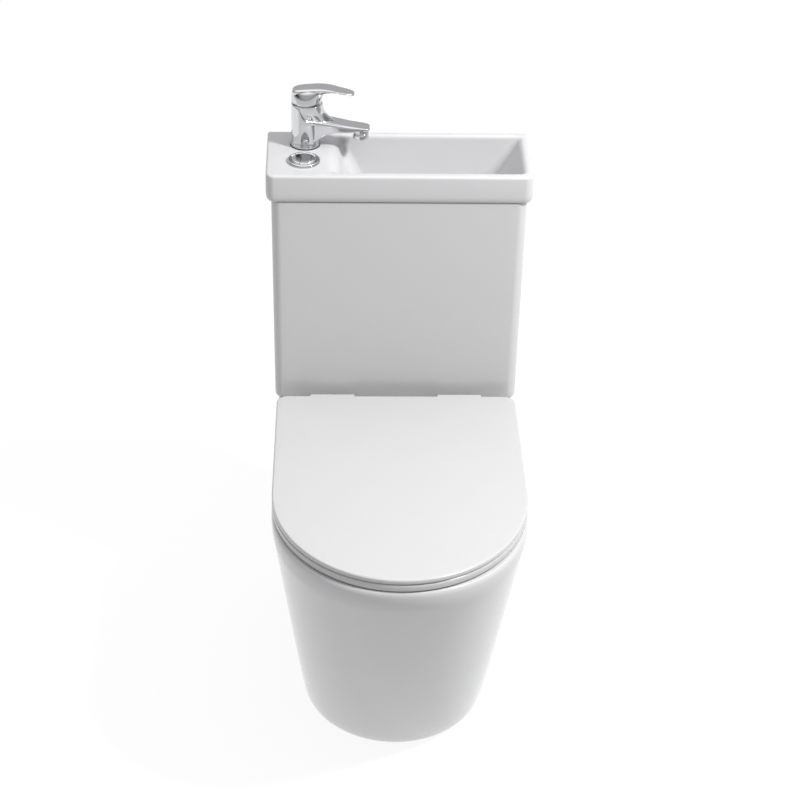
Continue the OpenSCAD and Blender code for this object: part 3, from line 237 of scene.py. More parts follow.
MAT = {
    "china": new_material("china_glaze", (0.482, 0.482, 0.487), 0.10, coat=0.12, specks=0.006, rough_var=0.02,
                          scale=9, bump=0.05, bump_scale=7, bump_distance=0.002),
    "seat_plastic": new_material("seat_gloss", (0.45, 0.45, 0.45), 0.22, specks=0.005,
                                 scale=14, bump=0.03, bump_scale=25, bump_distance=0.0006),
    "buffer_rubber": new_material("buffer_rubber", (0.72, 0.73, 0.74), 0.55, bump=0.2, bump_scale=400,
                                  edge=0.0004),
    "hinge_metal": new_material("hinge_chrome", (0.70, 0.70, 0.71), 0.10, metal=1.0, rough_var=0.02,
                                edge=0.0006),
    "seal_rubber": new_material("seal_rubber", (0.025, 0.025, 0.027), 0.60, bump=0.25, bump_scale=500,
                                edge=0.0004),
    "white_plastic": new_plastic("white_plastic", (0.76, 0.76, 0.74)),
    "blue_plastic": new_plastic("blue_plastic", (0.16, 0.34, 0.62)),
    "red_plastic": new_plastic("red_plastic", (0.52, 0.09, 0.05)),
    "brass": new_metal("brass", (0.66, 0.45, 0.17), 0.26, 0.06),
    "steel": new_metal("steel", (0.52, 0.52, 0.53), 0.32, 0.04),
    "copper": new_metal("copper", (0.72, 0.33, 0.18), 0.28, 0.08, edge=0.0003),
    "chrome": new_material("chrome", (0.68, 0.685, 0.695), 0.055, metal=1.0, specks=0.01, rough_var=0.015,
                           scale=40, bump=0.01, bump_scale=40),
}


# ---------- outlines, as lists of points ----------
def lerp(a, b, t):
    return a + (b - a) * t


def circle(cx, cy, r, n):
    turns = [2 * math.pi * k / n for k in range(n)]
    return [(cx + r * math.cos(a), cy + r * math.sin(a)) for a in turns]


def arc(cx, cy, rx, ry, start, end, n):
    """Points of an elliptic arc between two angles in degrees, both ends included."""
    turns = [math.radians(lerp(start, end, k / n)) for k in range(n + 1)]
    return [(cx + rx * math.cos(a), cy + ry * math.sin(a)) for a in turns]


def line(p, q, n):
    """Points strictly between p and q."""
    return [(lerp(p[0], q[0], i / n), lerp(p[1], q[1], i / n)) for i in range(1, n)]


def powered(value, power):
    """A power that keeps the sign."""
    return math.copysign(abs(value) ** power, value)


def egg(half, rear_half, front, middle, back, rx, ry, n=96, corner=12, side=14, power=1.0):
    """Half ellipse in front of middle, straight sides to a narrower, round-cornered rear.

    A power below 1 makes the half ellipse squarer.
    """
    left = arc(rx - rear_half, back - ry, rx, ry, 90, 180, corner)
    nose = [(half * powered(x, power), middle + (middle - front) * powered(y, power))
            for x, y in arc(0, 0, 1, 1, 180, 360, n)]
    right = arc(rear_half - rx, back - ry, rx, ry, 0, 90, corner)
    return (left + line(left[-1], nose[0], side) + nose + line(nose[-1], right[0], side)
            + right + line(right[-1], left[0], side))


def round_box(x0, x1, y0, y1, front_r, rear_r, corner=12, side=10):
    """Rectangle with one radius at its front corners and one at its rear corners."""
    a = arc(x0 + rear_r, y1 - rear_r, rear_r, rear_r, 90, 180, corner)
    b = arc(x0 + front_r, y0 + front_r, front_r, front_r, 180, 270, corner)
    c = arc(x1 - front_r, y0 + front_r, front_r, front_r, 270, 360, corner)
    d = arc(x1 - rear_r, y1 - rear_r, rear_r, rear_r, 0, 90, corner)
    return (a + line(a[-1], b[0], side) + b + line(b[-1], c[0], side * 2) + c
            + line(c[-1], d[0], side) + d + line(d[-1], a[0], side * 2))


def oval(u, v, power, n):
    """Ellipse with half axes u and v; a power below 1 makes it squarer."""
    return [(u * powered(c, power), v * powered(s, power)) for c, s in circle(0, 0, 1, n)]


def quarter(r, n=7):
    """Insets and drops of a rounded edge, from its side to its top."""
    turns = [math.radians(90 * i / n) for i in range(n + 1)]
    return [(r * (1 - math.cos(a)), r * (1 - math.sin(a))) for a in turns]


def edge_inset(drop, r):
    """How far a rounded edge of radius r stands back at that drop below its top."""
    return 0.0 if drop >= r else r - math.sqrt(max(0.0, r * r - (r - drop) ** 2))


def smooth_rows(rows, steps):
    """Rows of numbers on a smooth curve through the given rows."""
    out = []
    last = len(rows) - 1
    for i in range(last):
        around = [rows[max(0, i - 1)], rows[i], rows[i + 1], rows[min(last, i + 2)]]
        for t in [k / steps for k in range(steps)]:
            out.append([0.5 * (2 * b + (c - a) * t + (2 * a - 5 * b + 4 * c - d) * t * t
                               + (3 * b - a - 3 * c + d) * t ** 3) for a, b, c, d in zip(*around)])
    return out + [list(rows[-1])]


# ---------- meshes ----------
class Builder:
    """Collects the points, in millimetres, and the faces of one piece."""

    def __init__(self):
        self.points, self.faces = [], []

    def skin(self, rings, ends=True):
        """Faces between rings of equally many points; ends closes the first and the last ring."""
        n, base = len(rings[0]), len(self.points)
        for ring in rings:
            self.points += [tuple(p) for p in ring]
        for start in range(base, base + n * (len(rings) - 1), n):
            for j in range(n):
                a, b = start + j, start + (j + 1) % n
                self.faces.append((a, b, b + n, a + n))
        if ends:
            top = base + (len(rings) - 1) * n
            self.faces.append(tuple(base + j for j in range(n))[::-1])
            self.faces.append(tuple(top + j for j in range(n)))
        return self

    def loft(self, levels, ends=True):
        """Skin over level outlines, given with their heights."""
        return self.skin([[(x, y, z) for x, y in outline] for outline, z in levels], ends)

    def ring_loft(self, levels):
        """Skin over level outlines that ends where it starts."""
        return self.loft(levels + levels[:1], ends=False)

    def revolve(self, profile, cx, cy, n=96):
        """Turned piece on an upright axis, from radii and heights."""
        return self.loft([(circle(cx, cy, r, n), z) for r, z in profile])

    def revolve_ring(self, profile, cx, cy, n):
        """Turned ring on an upright axis, whose profile ends where it starts."""
        return self.ring_loft([(circle(cx, cy, r, n), z) for r, z in profile])

    def revolve_y(self, profile, cx, cz, n):
        """Turned piece on an axis along Y, from radii and places."""
        return self.skin([[(x, y, z) for x, z in circle(cx, cz, r, n)] for r, y in profile])

    def x_rod(self, x0, x1, cy, cz, r, n=40, chamfer=0.6):
        """Rod along X with chamfered ends."""
        profile = ((x0, r - chamfer), (x0 + chamfer, r), (x1 - chamfer, r), (x1, r - chamfer))
        return self.skin([[(x, y, z) for y, z in circle(cy, cz, radius, n)] for x, radius in profile])

    def box(self, x0, x1, y0, y1, z0, z1, r):
        """Box with rounded upright edges and chamfered top and bottom."""
        c = 0.5 * r
        inner_r = r - c * 0.6
        full = round_box(x0, x1, y0, y1, r, r, 4, 1)
        small = round_box(x0 + c, x1 - c, y0 + c, y1 - c, inner_r, inner_r, 4, 1)
        return self.loft([(small, z0), (full, z0 + c), (full, z1 - c), (small, z1)])

    def add(self, other):
        """Takes in another builder's points and faces."""
        n = len(self.points)
        self.points += other.points
        self.faces += [tuple(i + n for i in face) for face in other.faces]
        return self

    def mirrored(self):
        """Adds the same shape on the other side of X = 0."""
        n = len(self.points)
        self.points += [(-x, y, z) for x, y, z in self.points]
        self.faces += [tuple(i + n for i in face)[::-1] for face in self.faces]
        return self

    def make(self, name, slot, smooth=SOFT):
        """The scene's object, in the finish of a material slot."""
        mesh = bpy.data.meshes.new(name)
        mesh.from_pydata([Vector(p) * MM for p in self.points], [], self.faces)
        bm = bmesh.new()
        bm.from_mesh(mesh)
        bmesh.ops.remove_doubles(bm, verts=bm.verts, dist=MERGE * MM)
        bmesh.ops.dissolve_degenerate(bm, edges=bm.edges, dist=MERGE * MM)
        bmesh.ops.recalc_face_normals(bm, faces=bm.faces)
        bm.to_mesh(mesh)
        bm.free()
        return place_mesh(mesh, name, MAT[slot], smooth)


def place_mesh(mesh, name, material, smooth):
    """A new object of the scene from a mesh, in one finish."""
    mesh.materials.clear()
    mesh.materials.append(material)
    mesh.shade_smooth()
    mesh.set_sharp_from_angle(angle=math.radians(smooth))
    piece = bpy.data.objects.new(name, mesh)
    SCENE.collection.objects.link(piece)
    return piece


def dress(piece, body, slot, *nodes):
    """The piece rides on a body and stands for CAD nodes, which it hides; slot is not used."""
    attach(piece, body)
    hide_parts(*nodes)
    return piece


def applied(piece, smooth=SOFT):
    """The piece with its modifiers applied; the one without goes."""
    bpy.context.view_layer.update()
    seen = piece.evaluated_get(bpy.context.evaluated_depsgraph_get())
    mesh = bpy.data.meshes.new_from_object(seen)
    name, material = piece.name, piece.data.materials[0]
    bpy.data.objects.remove(piece)
    return place_mesh(mesh, name, material, smooth)


def combined(piece, operation, cutters, smooth=SOFT):
    """The piece after one exact boolean with each cutter; the cutters go."""
    for i, cutter in enumerate(cutters):
        modifier = piece.modifiers.new(f"cut{i}", "BOOLEAN")
        modifier.operation = operation
        modifier.solver = "EXACT"
        modifier.object = cutter
    piece = applied(piece, smooth)
    for cutter in cutters:
        bpy.data.objects.remove(cutter)
    return piece


def cut(piece, *cutters):
    """The piece without what its cutters take away."""
    return combined(piece, "DIFFERENCE", cutters)


def melt(name, parts, voxel, rounds, slot):
    """One skin round closed shapes, with soft inside corners; voxel is in millimetres."""
    joined = Builder()
    for part in parts:
        joined.add(part)
    piece = joined.make(name, slot)
    remesh = piece.modifiers.new("remesh", "REMESH")
    remesh.mode = "VOXEL"
    remesh.voxel_size = voxel * MM
    remesh.adaptivity = 0.0
    smooth = piece.modifiers.new("smooth", "SMOOTH")
    smooth.factor = 0.5
    smooth.iterations = rounds
    return applied(piece, SOFTEST)


def join_into(piece, other):
    """Adds the other object's mesh to the piece; the other goes."""
    bm = bmesh.new()
    bm.from_mesh(piece.data)
    bm.from_mesh(other.data)
    bm.to_mesh(piece.data)
    bm.free()
    bpy.data.objects.remove(other)
    piece.data.set_sharp_from_angle(angle=math.radians(SOFT))
    return piece


# ---------- cutters, which never stay in the scene ----------
def rod_cutter(x, y, z0, z1, r, n=64):
    return Builder().revolve([(r, z0), (r, z1)], x, y, n).make("cutter", "china")


def y_rod_cutter(x, z, y0, y1, r, n=64):
    return Builder().revolve_y([(r, y0), (r, y1)], x, z, n).make("cutter", "china")


def y_box_cutter(x0, x1, y0, y1, z0, z1, r):
    """Box with edges rounded along Y."""
    outline = round_box(x0, x1, z0, z1, r, r, 6, 1)
    return Builder().skin([[(x, y, z) for x, z in outline] for y in (y0, y1)]).make("cutter", "china")


# ---------- pan ----------
def skirt(z, inset):
    """Outside of the pan at a height, moved inwards by inset."""
    t = min(1.0, z / SHOULDER_Z)
    s = t ** FRONT_BOW
    return egg(lerp(FOOT_W, PAN_W, t) / 2 - inset, lerp(FOOT_REAR_W, PAN_REAR_W, t) / 2 - inset,
               PAN_FRONT + FOOT_SETBACK * (1 - s) + inset, lerp(FOOT_MIDDLE, RIM_MIDDLE, s), WALL_Y - inset,
               PAN_CORNER, PAN_CORNER, power=1 - RIM_SQUARENESS * t ** 3)


def bowl(t, wall):
    """Inside of the bowl at a share of its depth, moved outwards by wall."""
    s = t ** BOWL_CURVE
    half = lerp(MOUTH_W, SUMP_W, s) / 2 + wall
    return egg(half, half - 1, lerp(PAN_FRONT + FRONT_RIM, SUMP_FRONT, s) - wall,
               lerp(MOUTH_MIDDLE, SUMP_MIDDLE, s), lerp(MOUTH_BACK, SUMP_BACK, s) + wall,
               half - 3, lerp(MOUTH_CORNER, SUMP_CORNER, s))


def pan_under_levels():
    """Up and down the unseen side: from under the sump to the deck and down inside the skirt."""
    shares = [1, .97, .93, .88, .8, .7, .6, .5, .4, .3, .2, .12]
    levels = [(bowl(t, PAN_WALL), RIM_Z - t * (BOWL_DEPTH + PAN_WALL)) for t in shares]
    levels += [(bowl(0.04, PAN_WALL), DECK_UNDER), (skirt(DECK_UNDER, PAN_WALL), DECK_UNDER)]
    heights = [t * DECK_UNDER for t in [.85, .7, .55, .4, .25, .1, 0]]
    return levels + [(skirt(z, PAN_WALL), z) for z in heights]


def pan_outside_levels():
    """Foot edge, skirt and rolled rim."""
    levels = []
    for a in [math.radians(degrees) for degrees in (90, 67, 45, 22, 0)]:
        rise = FOOT_EDGE * (1 - math.sin(a))
        levels.append((skirt(rise, FOOT_EDGE * (1 - math.cos(a))), rise))
    step = 17.3
    heights = [6, 14, 26] + [40 + step * i for i in range(20)] + [SHOULDER_Z, RIM_Z - RIM_ROLL]
    levels += [(skirt(z, 0), z) for z in heights]
    for a in [math.radians(7.5 * i) for i in range(1, 13)]:
        inset = RIM_INSET * (1 - math.cos(a))
        levels.append((skirt(SHOULDER_Z, inset), RIM_Z - RIM_ROLL + RIM_ROLL * math.sin(a)))
    return levels


def pan_inside_levels():
    """Edge of the bowl's mouth, its side and its sump."""
    edge = [(6, 0), (4.2, .3), (2.4, 1.3), (1, 3.2)]
    levels = [(bowl(0, wall), RIM_Z - drop) for wall, drop in edge]
    shares = [.02, .05, .09, .14, .2, .27, .35, .43, .51, .6, .68, .76, .83, .89, .94, .97]
    levels += [(bowl(t, 0), RIM_Z - t * BOWL_DEPTH) for t in shares]
    return levels + [(bowl(0.985, -4), RIM_Z - .99 * BOWL_DEPTH), (bowl(1, -12), RIM_Z - BOWL_DEPTH)]


def make_pan_back():
    """What lies behind the bowl: flush chamber with its way to the bowl, trapway and outlet."""
    chamber = Builder().box(-CHAMBER_HALF, CHAMBER_HALF, CHAMBER_FRONT, CHAMBER_BACK, CHAMBER_Z,
                            DECK_UNDER - .5, CHAMBER_CORNER)
    way = Builder().revolve_y([(FLUSH_WAY_R, MOUTH_BACK + 4), (FLUSH_WAY_R, CHAMBER_FRONT + 7)],
                              0, FLUSH_WAY_Z, 48)
    end, chamfer = OUTLET_END, 1.5
    outlet = Builder().revolve_y([(OUTLET_R, OUTLET_FRONT), (OUTLET_R, end - 2), (OUTLET_R - chamfer, end),
                                  (OUTLET_BORE + chamfer, end), (OUTLET_BORE, end - 2),
                                  (OUTLET_BORE, OUTLET_FRONT + 5)], 0, OUTLET_Z, 64)
    # the trapway's middle line in Y and Z
    path = smooth_rows([[54, 124], [84, 118], [114, 132], [140, 164], [166, 192], [196, 203], [228, 192],
                        [267, OUTLET_Z]], 6)
    rings = []
    for i, (y, z) in enumerate(path):
        before, after = path[max(0, i - 1)], path[min(len(path) - 1, i + 1)]
        slope = math.atan2(after[1] - before[1], after[0] - before[0])
        rings.append([(u, y + v * math.sin(slope), z - v * math.cos(slope))
                      for u, v in circle(0, 0, TRAP_R, 48)])
    trapway = Builder().skin(rings)
    return melt("pan_back", [trapway, chamber, way, outlet], 2.0, 4, "china")


def make_pan():
    levels = pan_under_levels() + pan_outside_levels() + pan_inside_levels()
    rear_opening = y_box_cutter(-REAR_HALF, REAR_HALF, WALL_Y - REAR_CUT, WALL_Y + 5, -20, REAR_TOP,
                                REAR_CORNER)
    flush_way = y_rod_cutter(0, FLUSH_WAY_Z, 70, 100, FLUSH_WAY_BORE)
    trap_mouth = y_rod_cutter(0, TRAP_IN_Z, 20, 62, TRAP_BORE)
    pan = cut(Builder().loft(levels).make("pan_china", "china"), rear_opening, flush_way, trap_mouth)
    dress(join_into(pan, make_pan_back()), "fixture", "china", "pan", "pan_bowl", "pan_waterway")


# ---------- seat ----------
def seat_outline(back, inset):
    return egg(SEAT_W / 2 - inset, SEAT_W / 2 - 2 - inset, SEAT_FRONT + FRONT_TRIM + inset, SEAT_MIDDLE,
               back - inset, SEAT_CORNER, SEAT_CORNER)


def ring_opening(wider):
    """Inside of the seat ring, moved outwards by wider."""
    half = SEAT_W / 2 - RING_SIDE
    return egg(half + wider, half - 2 + wider, SEAT_FRONT + RING_FRONT - wider, SEAT_MIDDLE,
               RING_BACK - RING_REAR + wider, half - 12, 84)


def plate_levels(back, z, thickness):
    """Side of a seat plate: a small edge below and a rounded one above."""
    below = [(seat_outline(back, inset), z + rise) for inset, rise in [(1.0, 0), (.3, .3), (0, 1)]]
    return below + [(seat_outline(back, inset), z + thickness - drop) for inset, drop in quarter(EDGE_R)]


def make_ring():
    top = RING_Z + RING_T
    edge = [(0, 0), (.6, .05), (1.5, .4), (2.4, 1.2), (3, 2.6)]
    levels = plate_levels(RING_BACK, RING_Z, RING_T)
    levels += [(ring_opening(EDGE_R - inset), top - drop) for inset, drop in edge]
    levels += [(ring_opening(wider), RING_Z + rise) for wider, rise in [(0, 2), (.5, .8), (2, 0)]]
    arm = Builder().box(ARM_LEFT, ARM_RIGHT, ARM_FRONT, HINGE_Y, RING_Z + 1.5, top, 2)
    arm.x_rod(ARM_LEFT, ARM_RIGHT, HINGE_Y, HINGE_Z, ARM_BARREL_R)
    piece = Builder().ring_loft(levels).add(arm.mirrored()).make("seat_ring_skin", "seat_plastic")
    dress(piece, "ring", "seat_plastic", "seat_ring")


def make_lid():
    back = HINGE_Y + 4
    plate = Builder().loft(plate_levels(back, LID_Z, LID_T)
                           + [(seat_outline(back, inset), LID_TOP) for inset in (9, 24, 60)])
    # hinge ear: the plate runs on over the barrel and turns down behind it; Y and Z from the hinge's axis
    profile = [(10, 0), (10, 2.5), (10, 5)] + arc(6, 5.95, 4, 4, 0, 90, 8) + [(-2, 9.95), (-2, 7.8)]
    profile += arc(0, 0, 7.9, 7.9, 92, 0, 20)
    rings = []
    for x, chamfer in ((EAR_LEFT, EAR_CHAMFER), (EAR_LEFT + EAR_CHAMFER, 0), (EAR_RIGHT - EAR_CHAMFER, 0),
                       (EAR_RIGHT, EAR_CHAMFER)):
        rings.append([(x, HINGE_Y + y - (chamfer if y > 6 else 0), HINGE_Z + z - (chamfer if z > 9 else 0))
                      for y, z in profile])
    ear = Builder().skin(rings)
    ear.x_rod(LID_BARREL_LEFT, LID_BARREL_RIGHT, HINGE_Y, HINGE_Z, LID_BARREL_R, 64, 1.0)
    piece = plate.add(ear.mirrored()).make("seat_lid_skin", "seat_plastic")
    dress(piece, "lid", "seat_plastic", "seat_lid")


# ---------- cistern ----------
def cistern_outline(t, inset):
    """Outside of the cistern at a share of its height, moved inwards by inset."""
    half = lerp(CISTERN_FOOT_W, CISTERN_W, t) / 2 - inset
    return round_box(-half, half, CISTERN_FRONT + CISTERN_LEAN * (1 - t) + inset, WALL_Y - inset,
                     max(2.0, CISTERN_CORNER - inset), max(1.0, CISTERN_REAR_CORNER - inset), 16, 12)


def make_cistern():
    height = CISTERN_TOP - CISTERN_Z
    foot = [(5, 0), (3.2, .5), (1.6, 1.5), (.6, 3), (.1, 5)]
    rim = [(0, .8), (.8, 0), (CISTERN_WALL - .8, 0), (CISTERN_WALL, 1)]
    levels = [(cistern_outline(0, inset), CISTERN_Z + rise) for inset, rise in foot]
    levels += [(cistern_outline(t, 0), CISTERN_Z + t * height)
               for t in [.03, .1, .2, .3, .4, .5, .6, .7, .8, .9, .97]]
    levels += [(cistern_outline(1, inset), CISTERN_TOP - drop) for inset, drop in rim]
    levels += [(cistern_outline(t, CISTERN_WALL), CISTERN_Z + t * height) for t in [.9, .6, .3, .08]]
    levels += [(cistern_outline(.05, inset), CISTERN_Z + rise) for inset, rise in [(10, 13), (16, 12)]]
    # holes of the two valves and the wall screws, and the slot for the tap's tails
    below, floor_top, behind = CISTERN_Z - 8, CISTERN_Z + 17, WALL_Y + 13
    slot = round_box(CHANNEL_LEFT, CHANNEL_RIGHT, CHANNEL_FRONT, behind, 5, 5, 6, 1)
    cutters = [rod_cutter(FLUSH_X, FLUSH_Y, below, floor_top, FLUSH_HOLE_R),
               rod_cutter(FILL_X, FILL_Y, below, floor_top, FILL_HOLE_R)]
    cutters += [y_rod_cutter(x, WALL_SCREW_Z, WALL_Y - 17, WALL_Y + 8, WALL_SCREW_R, 24)
                for x in (-WALL_SCREW_X, WALL_SCREW_X)]
    cutters += [Builder().loft([(slot, below), (slot, CISTERN_TOP + 4)]).make("cutter", "china")]
    body = cut(Builder().loft(levels).make("cistern_china", "china"), *cutters)
    # walls round the channel of the tap's tails, which is open to the back
    left, right, front, back = CHANNEL_LEFT, CHANNEL_RIGHT, CHANNEL_FRONT, CHANNEL_BACK
    outer_left, outer_right, outer_front = left - CISTERN_WALL, right + CISTERN_WALL, front - CISTERN_WALL
    wall = [(outer_left, outer_front), (outer_right, outer_front), (outer_right, back), (right, back),
            (right, front), (left, front), (left, back), (outer_left, back)]
    channel = Builder().loft([(wall, CISTERN_Z + 4), (wall, CISTERN_TOP - 1)]).make("channel_wall", "china")
    dress(join_into(body, channel), "fixture", "china", "cistern")


# ---------- basin ----------
def basin_outline(inset):
    """Outside of the basin, moved inwards by inset."""
    return round_box(inset - BASIN_W / 2, BASIN_W / 2 - inset, BASIN_FRONT + inset, WALL_Y - min(inset, 12),
                     max(3.0, BASIN_CORNER - inset), max(2.0, BASIN_REAR_CORNER - inset), 16, 16)


def sink(depth, roll, wall):
    """Inside of the basin's bowl at a depth, moved outwards by wall and by roll on the tap's side."""
    t = depth / SINK_DEPTH
    return round_box(SINK_LEFT - BASIN_W / 2 - roll + LEFT_LEAN * t - wall,
                     BASIN_W / 2 - SINK_RIGHT - RIGHT_LEAN * t + wall,
                     BASIN_FRONT + SINK_FRONT + FRONT_LEAN * t - wall,
                     WALL_Y - SINK_BACK - BACK_LEAN * t + wall,
                     max(1.5, SINK_CORNER + FRONT_SOFTENING * t + wall),
                     max(1.5, SINK_CORNER + BACK_SOFTENING * t + wall), 16, 16)


def basin_under_levels():
    """Underside of the bowl, from its middle up to the deck's, as depth, wall and drop below the top."""
    rows = [(80, -4, BASIN_Z - BASIN_UNDER), (79, 2, 86.5), (78, 5, 83), (70, 7, 70), (60, SINK_WALL, 60),
            (43, SINK_WALL, 43), (28, 5, 28), (12, 2, 12)]
    return [(sink(depth, 0, wall), BASIN_Z - drop) for depth, wall, drop in rows]


def basin_apron_levels():
    """Inside, lower edge and outside of the apron, and the rounded upper edge."""
    lower_edge = [(6, 0), (4.6, .4), (3.2, 1.3), (2.0, 2.8), (1.1, 5), (.4, 8), (0, 12), (0, 22)]
    levels = [(basin_outline(APRON_WALL), BASIN_Z - 12), (basin_outline(APRON_WALL), APRON_Z)]
    levels += [(basin_outline(inset), APRON_Z + rise) for inset, rise in lower_edge]
    levels += [(basin_outline(0), BASIN_Z - 4)]
    return levels + [(basin_outline(inset), BASIN_Z - drop) for inset, drop in quarter(4, 8)]


def basin_sink_levels():
    """Rolled edge, sides and rounded floor of the bowl."""
    levels = [(sink(depth, edge_inset(depth, ROLL_R), edge_inset(depth, SINK_EDGE_R)), BASIN_Z - depth)
              for depth in (0, .15, .6, 1.3, 2.4, 3.8, 5.5, 7.5, 10, 12.5, ROLL_R)]
    levels += [(sink(depth, 0, 0), BASIN_Z - depth) for depth in range(20, 63, 6)]
    for a in [math.radians(10 * k) for k in range(1, 10)]:
        depth = SINK_DEPTH - FLOOR_R + FLOOR_R * math.sin(a)
        levels.append((sink(depth, 0, -FLOOR_R * (1 - math.cos(a))), BASIN_Z - depth))
    return levels


def make_basin():
    levels = basin_under_levels() + basin_apron_levels() + basin_sink_levels()
    piece = cut(Builder().loft(levels).make("basin_china", "china"),
                rod_cutter(TAP_X, TAP_Y, BASIN_Z - 16, BASIN_Z + 5, TAP_HOLE_R),
                rod_cutter(BUTTON_X, BUTTON_Y, BASIN_Z - 16, BASIN_Z + 5, BUTTON_HOLE_R),
                rod_cutter(WASTE_X, WASTE_Y, BASIN_Z - 92, BASIN_Z - 74, WASTE_HOLE_R))
    dress(piece, "fixture", "china", "basin")


# ---------- tap ----------
def x_ovals(rows, n=56):
    """Upright ovals across X, from rows of x, half width, bottom, top, power and share of width below."""
    out = []
    for x, half, bottom, top, power, below in rows:
        h = (top - bottom) / 2
        out.append([(TAP_X + x, TAP_Y + p * lerp(below, 1, (1 + q / h) / 2), bottom + h + q)
                    for p, q in oval(half, h, power, n)])
    return out


def level_ovals(rows, z, n=72):
    """Level ovals, from rows of height above z, left, right and half depth."""
    return [[(TAP_X + (left + right) / 2 + p, TAP_Y + q, z + height)
             for p, q in oval((right - left) / 2, half, 1, n)] for height, left, right, half in rows]


def make_tap_body():
    z = BASIN_Z
    seam = TAP_TOP - SEAM_H
    core = [(19.5, z + 1), (21.1, z + 1), (21.5, z + 1.4), (21.5, z + 3), (21.2, z + 4.3), (20.8, z + 6),
            (20.4, z + 9), (TAP_CORE_R, z + 16), (TAP_CORE_R, seam - 2), (TAP_SEAM_R, seam),
            (TAP_SEAM_R, TAP_TOP - .2), (TAP_SEAM_R - .4, TAP_TOP)]
    # upper edge of the column's outer wall, which sweeps down to the spout, as x and height
    sweep = [[-20.2, 66], [-10, 66], [-9, 65.5], [-8, 62.5], [-6.5, 57.5], [-4, 52], [0, 47.5], [5, 45],
             [11, 43.8]]
    wall = []
    for x, top in smooth_rows(sweep, 5):
        half = math.sqrt(max(1.0, COLUMN_R ** 2 - min(x, 5.0) ** 2)) - max(0.0, x - 5) * 0.25
        wall.append([x, half, z + lerp(6, 8, (x + 20) / 31), z + top, 0.12, 1.0])
    # spout as x, half width, bottom, top, power and share of width below
    spout = [[14, 17.5, 10, 43.4, .25, .95], [22, 17.3, 14, 42.6, .34, .9], [32, 16.8, 20, 40.8, .4, .9],
             [42, 16.2, 22.5, 38.6, .42, .9], [54, 15.4, 23, 36, .42, .9], [66, 14.3, 23, 33.5, .42, .9],
             [74, 13.7, 24.6, 32.2, .42, .9], [88, 12.3, 25.5, 29.8, .42, .9],
             [92.5, 10.5, 26, 28.8, .42, .9], [94, 8, 26.5, 28, .42, .9]]
    nose = [[x, half, z + bottom, z + top, power, below]
            for x, half, bottom, top, power, below in smooth_rows(spout, 4)]
    # column between the spout's top and the handle, as height, left, right and half depth
    neck = [[30, -18, 46, 13], [39, -18.4, 42, 14], [43, -18.8, 37.5, 15], [47, -19, 33, 16.4],
            [53, -19.2, 28.8, 18], [60, -19.3, 26.3, 18.8], [66, -19.3, 25.3, 19.1]]
    boss = [(11.2, z + 20.8), (11.9, z + 21.5), (11.9, z + 29)]
    parts = [Builder().revolve(core, TAP_X, TAP_Y, 128),
             Builder().skin(x_ovals(wall + nose)),
             Builder().skin(level_ovals(smooth_rows(neck, 4), z)),
             Builder().revolve(boss, AERATOR_X, TAP_Y, 64)]
    dress(melt("tap_body_skin", parts, 0.5, 4, "chrome"), "fixture", "chrome", "tap_body")


def make_aerator():
    z = BASIN_Z
    profile = [(1, z + 13), (9.2, z + 13), (9.4, z + 11.9), (10.2, z + 11.5), (11.1, z + 11.7),
               (11.5, z + 12.4), (11.5, z + 19.4), (11.1, z + 20.1), (10.4, z + 20.4), (10.4, z + 22),
               (1, z + 22)]
    piece = Builder().revolve(profile, AERATOR_X, TAP_Y).make("aerator_skin", "chrome")
    dress(piece, "fixture", "chrome", "aerator")


def grub_hole_cutter():
    """Hole of the grub screw, in the hub's front right side."""
    out = Vector((math.cos(GRUB_ANGLE), math.sin(GRUB_ANGLE), 0))
    side = Vector((-out.y, out.x, 0))
    middle = Vector((TAP_X, TAP_Y, HUB_Z + GRUB_H))
    rings = [[middle + out * distance + side * u + Vector((0, 0, v))
              for u, v in circle(0, 0, GRUB_HOLE_R, 32)] for distance in (22.4, 44)]
    return Builder().skin(rings).make("cutter", "china")


def make_handle():
    # hub as height, left, right and half depth; lever as x, half width, bottom and top
    hub = [[0, -20.2, 24.5, 20], [5, -20.2, 25.2, 19.5], [10, -19.9, 27, 18.5], [15, -18.2, 29.2, 16.5],
           [19, -15.2, 28.7, 13.7]]
    lever = [[-19.5, 6, 8, 15], [-17, 10, 6, 18], [-12, 13, 6, 19.8], [-2, 14.8, 8, 21.2], [10, 15, 10, 22],
             [20, 15, 12, 22.4], [30, 14.8, 13.5, 21.8], [40, 14.2, 14.3, 20], [50, 13.2, 12.3, 17.4],
             [60, 11.8, 10.5, 15.2], [67, 9.5, 9, 13.8], [71, 6, 9.3, 12.5]]
    plate = [[x, half, HUB_Z + bottom, HUB_Z + top, .5, .62]
             for x, half, bottom, top in smooth_rows(lever, 4)]
    parts = [Builder().skin(level_ovals(smooth_rows(hub, 4), HUB_Z)), Builder().skin(x_ovals(plate))]
    piece = cut(melt("tap_handle_skin", parts, 0.5, 5, "chrome"),
                rod_cutter(TAP_X, TAP_Y, HUB_Z - 3, HUB_Z + NUT_ROOM_H, NUT_ROOM_R),
                rod_cutter(TAP_X - 2, TAP_Y, HUB_Z - 3, HUB_Z + YOKE_ROOM_H, YOKE_ROOM_R),
                grub_hole_cutter())
    dress(piece, "tap_lever", "chrome", "tap_handle")


# ---------- flush buttons ----------
def make_bezel():
    z = BASIN_Z
    profile = [(19.8, z - 28), (19.8, z), (23.4, z), (24, z + .5), (24, z + 1.4), (23.6, z + 2.8),
               (22.6, z + 3.8), (21.6, z + 4), (20.6, z + 3.7), (19.4, z + 2.9), (18.3, z + 2.3),
               (17.9, z + 2.1), (17.7, z + 1.4), (17.7, z - 28)]
    piece = Builder().revolve_ring(profile, BUTTON_X, BUTTON_Y, 128).make("bezel_skin", "chrome", SOFTER)
    dress(piece, "fixture", "chrome", "button_bezel")


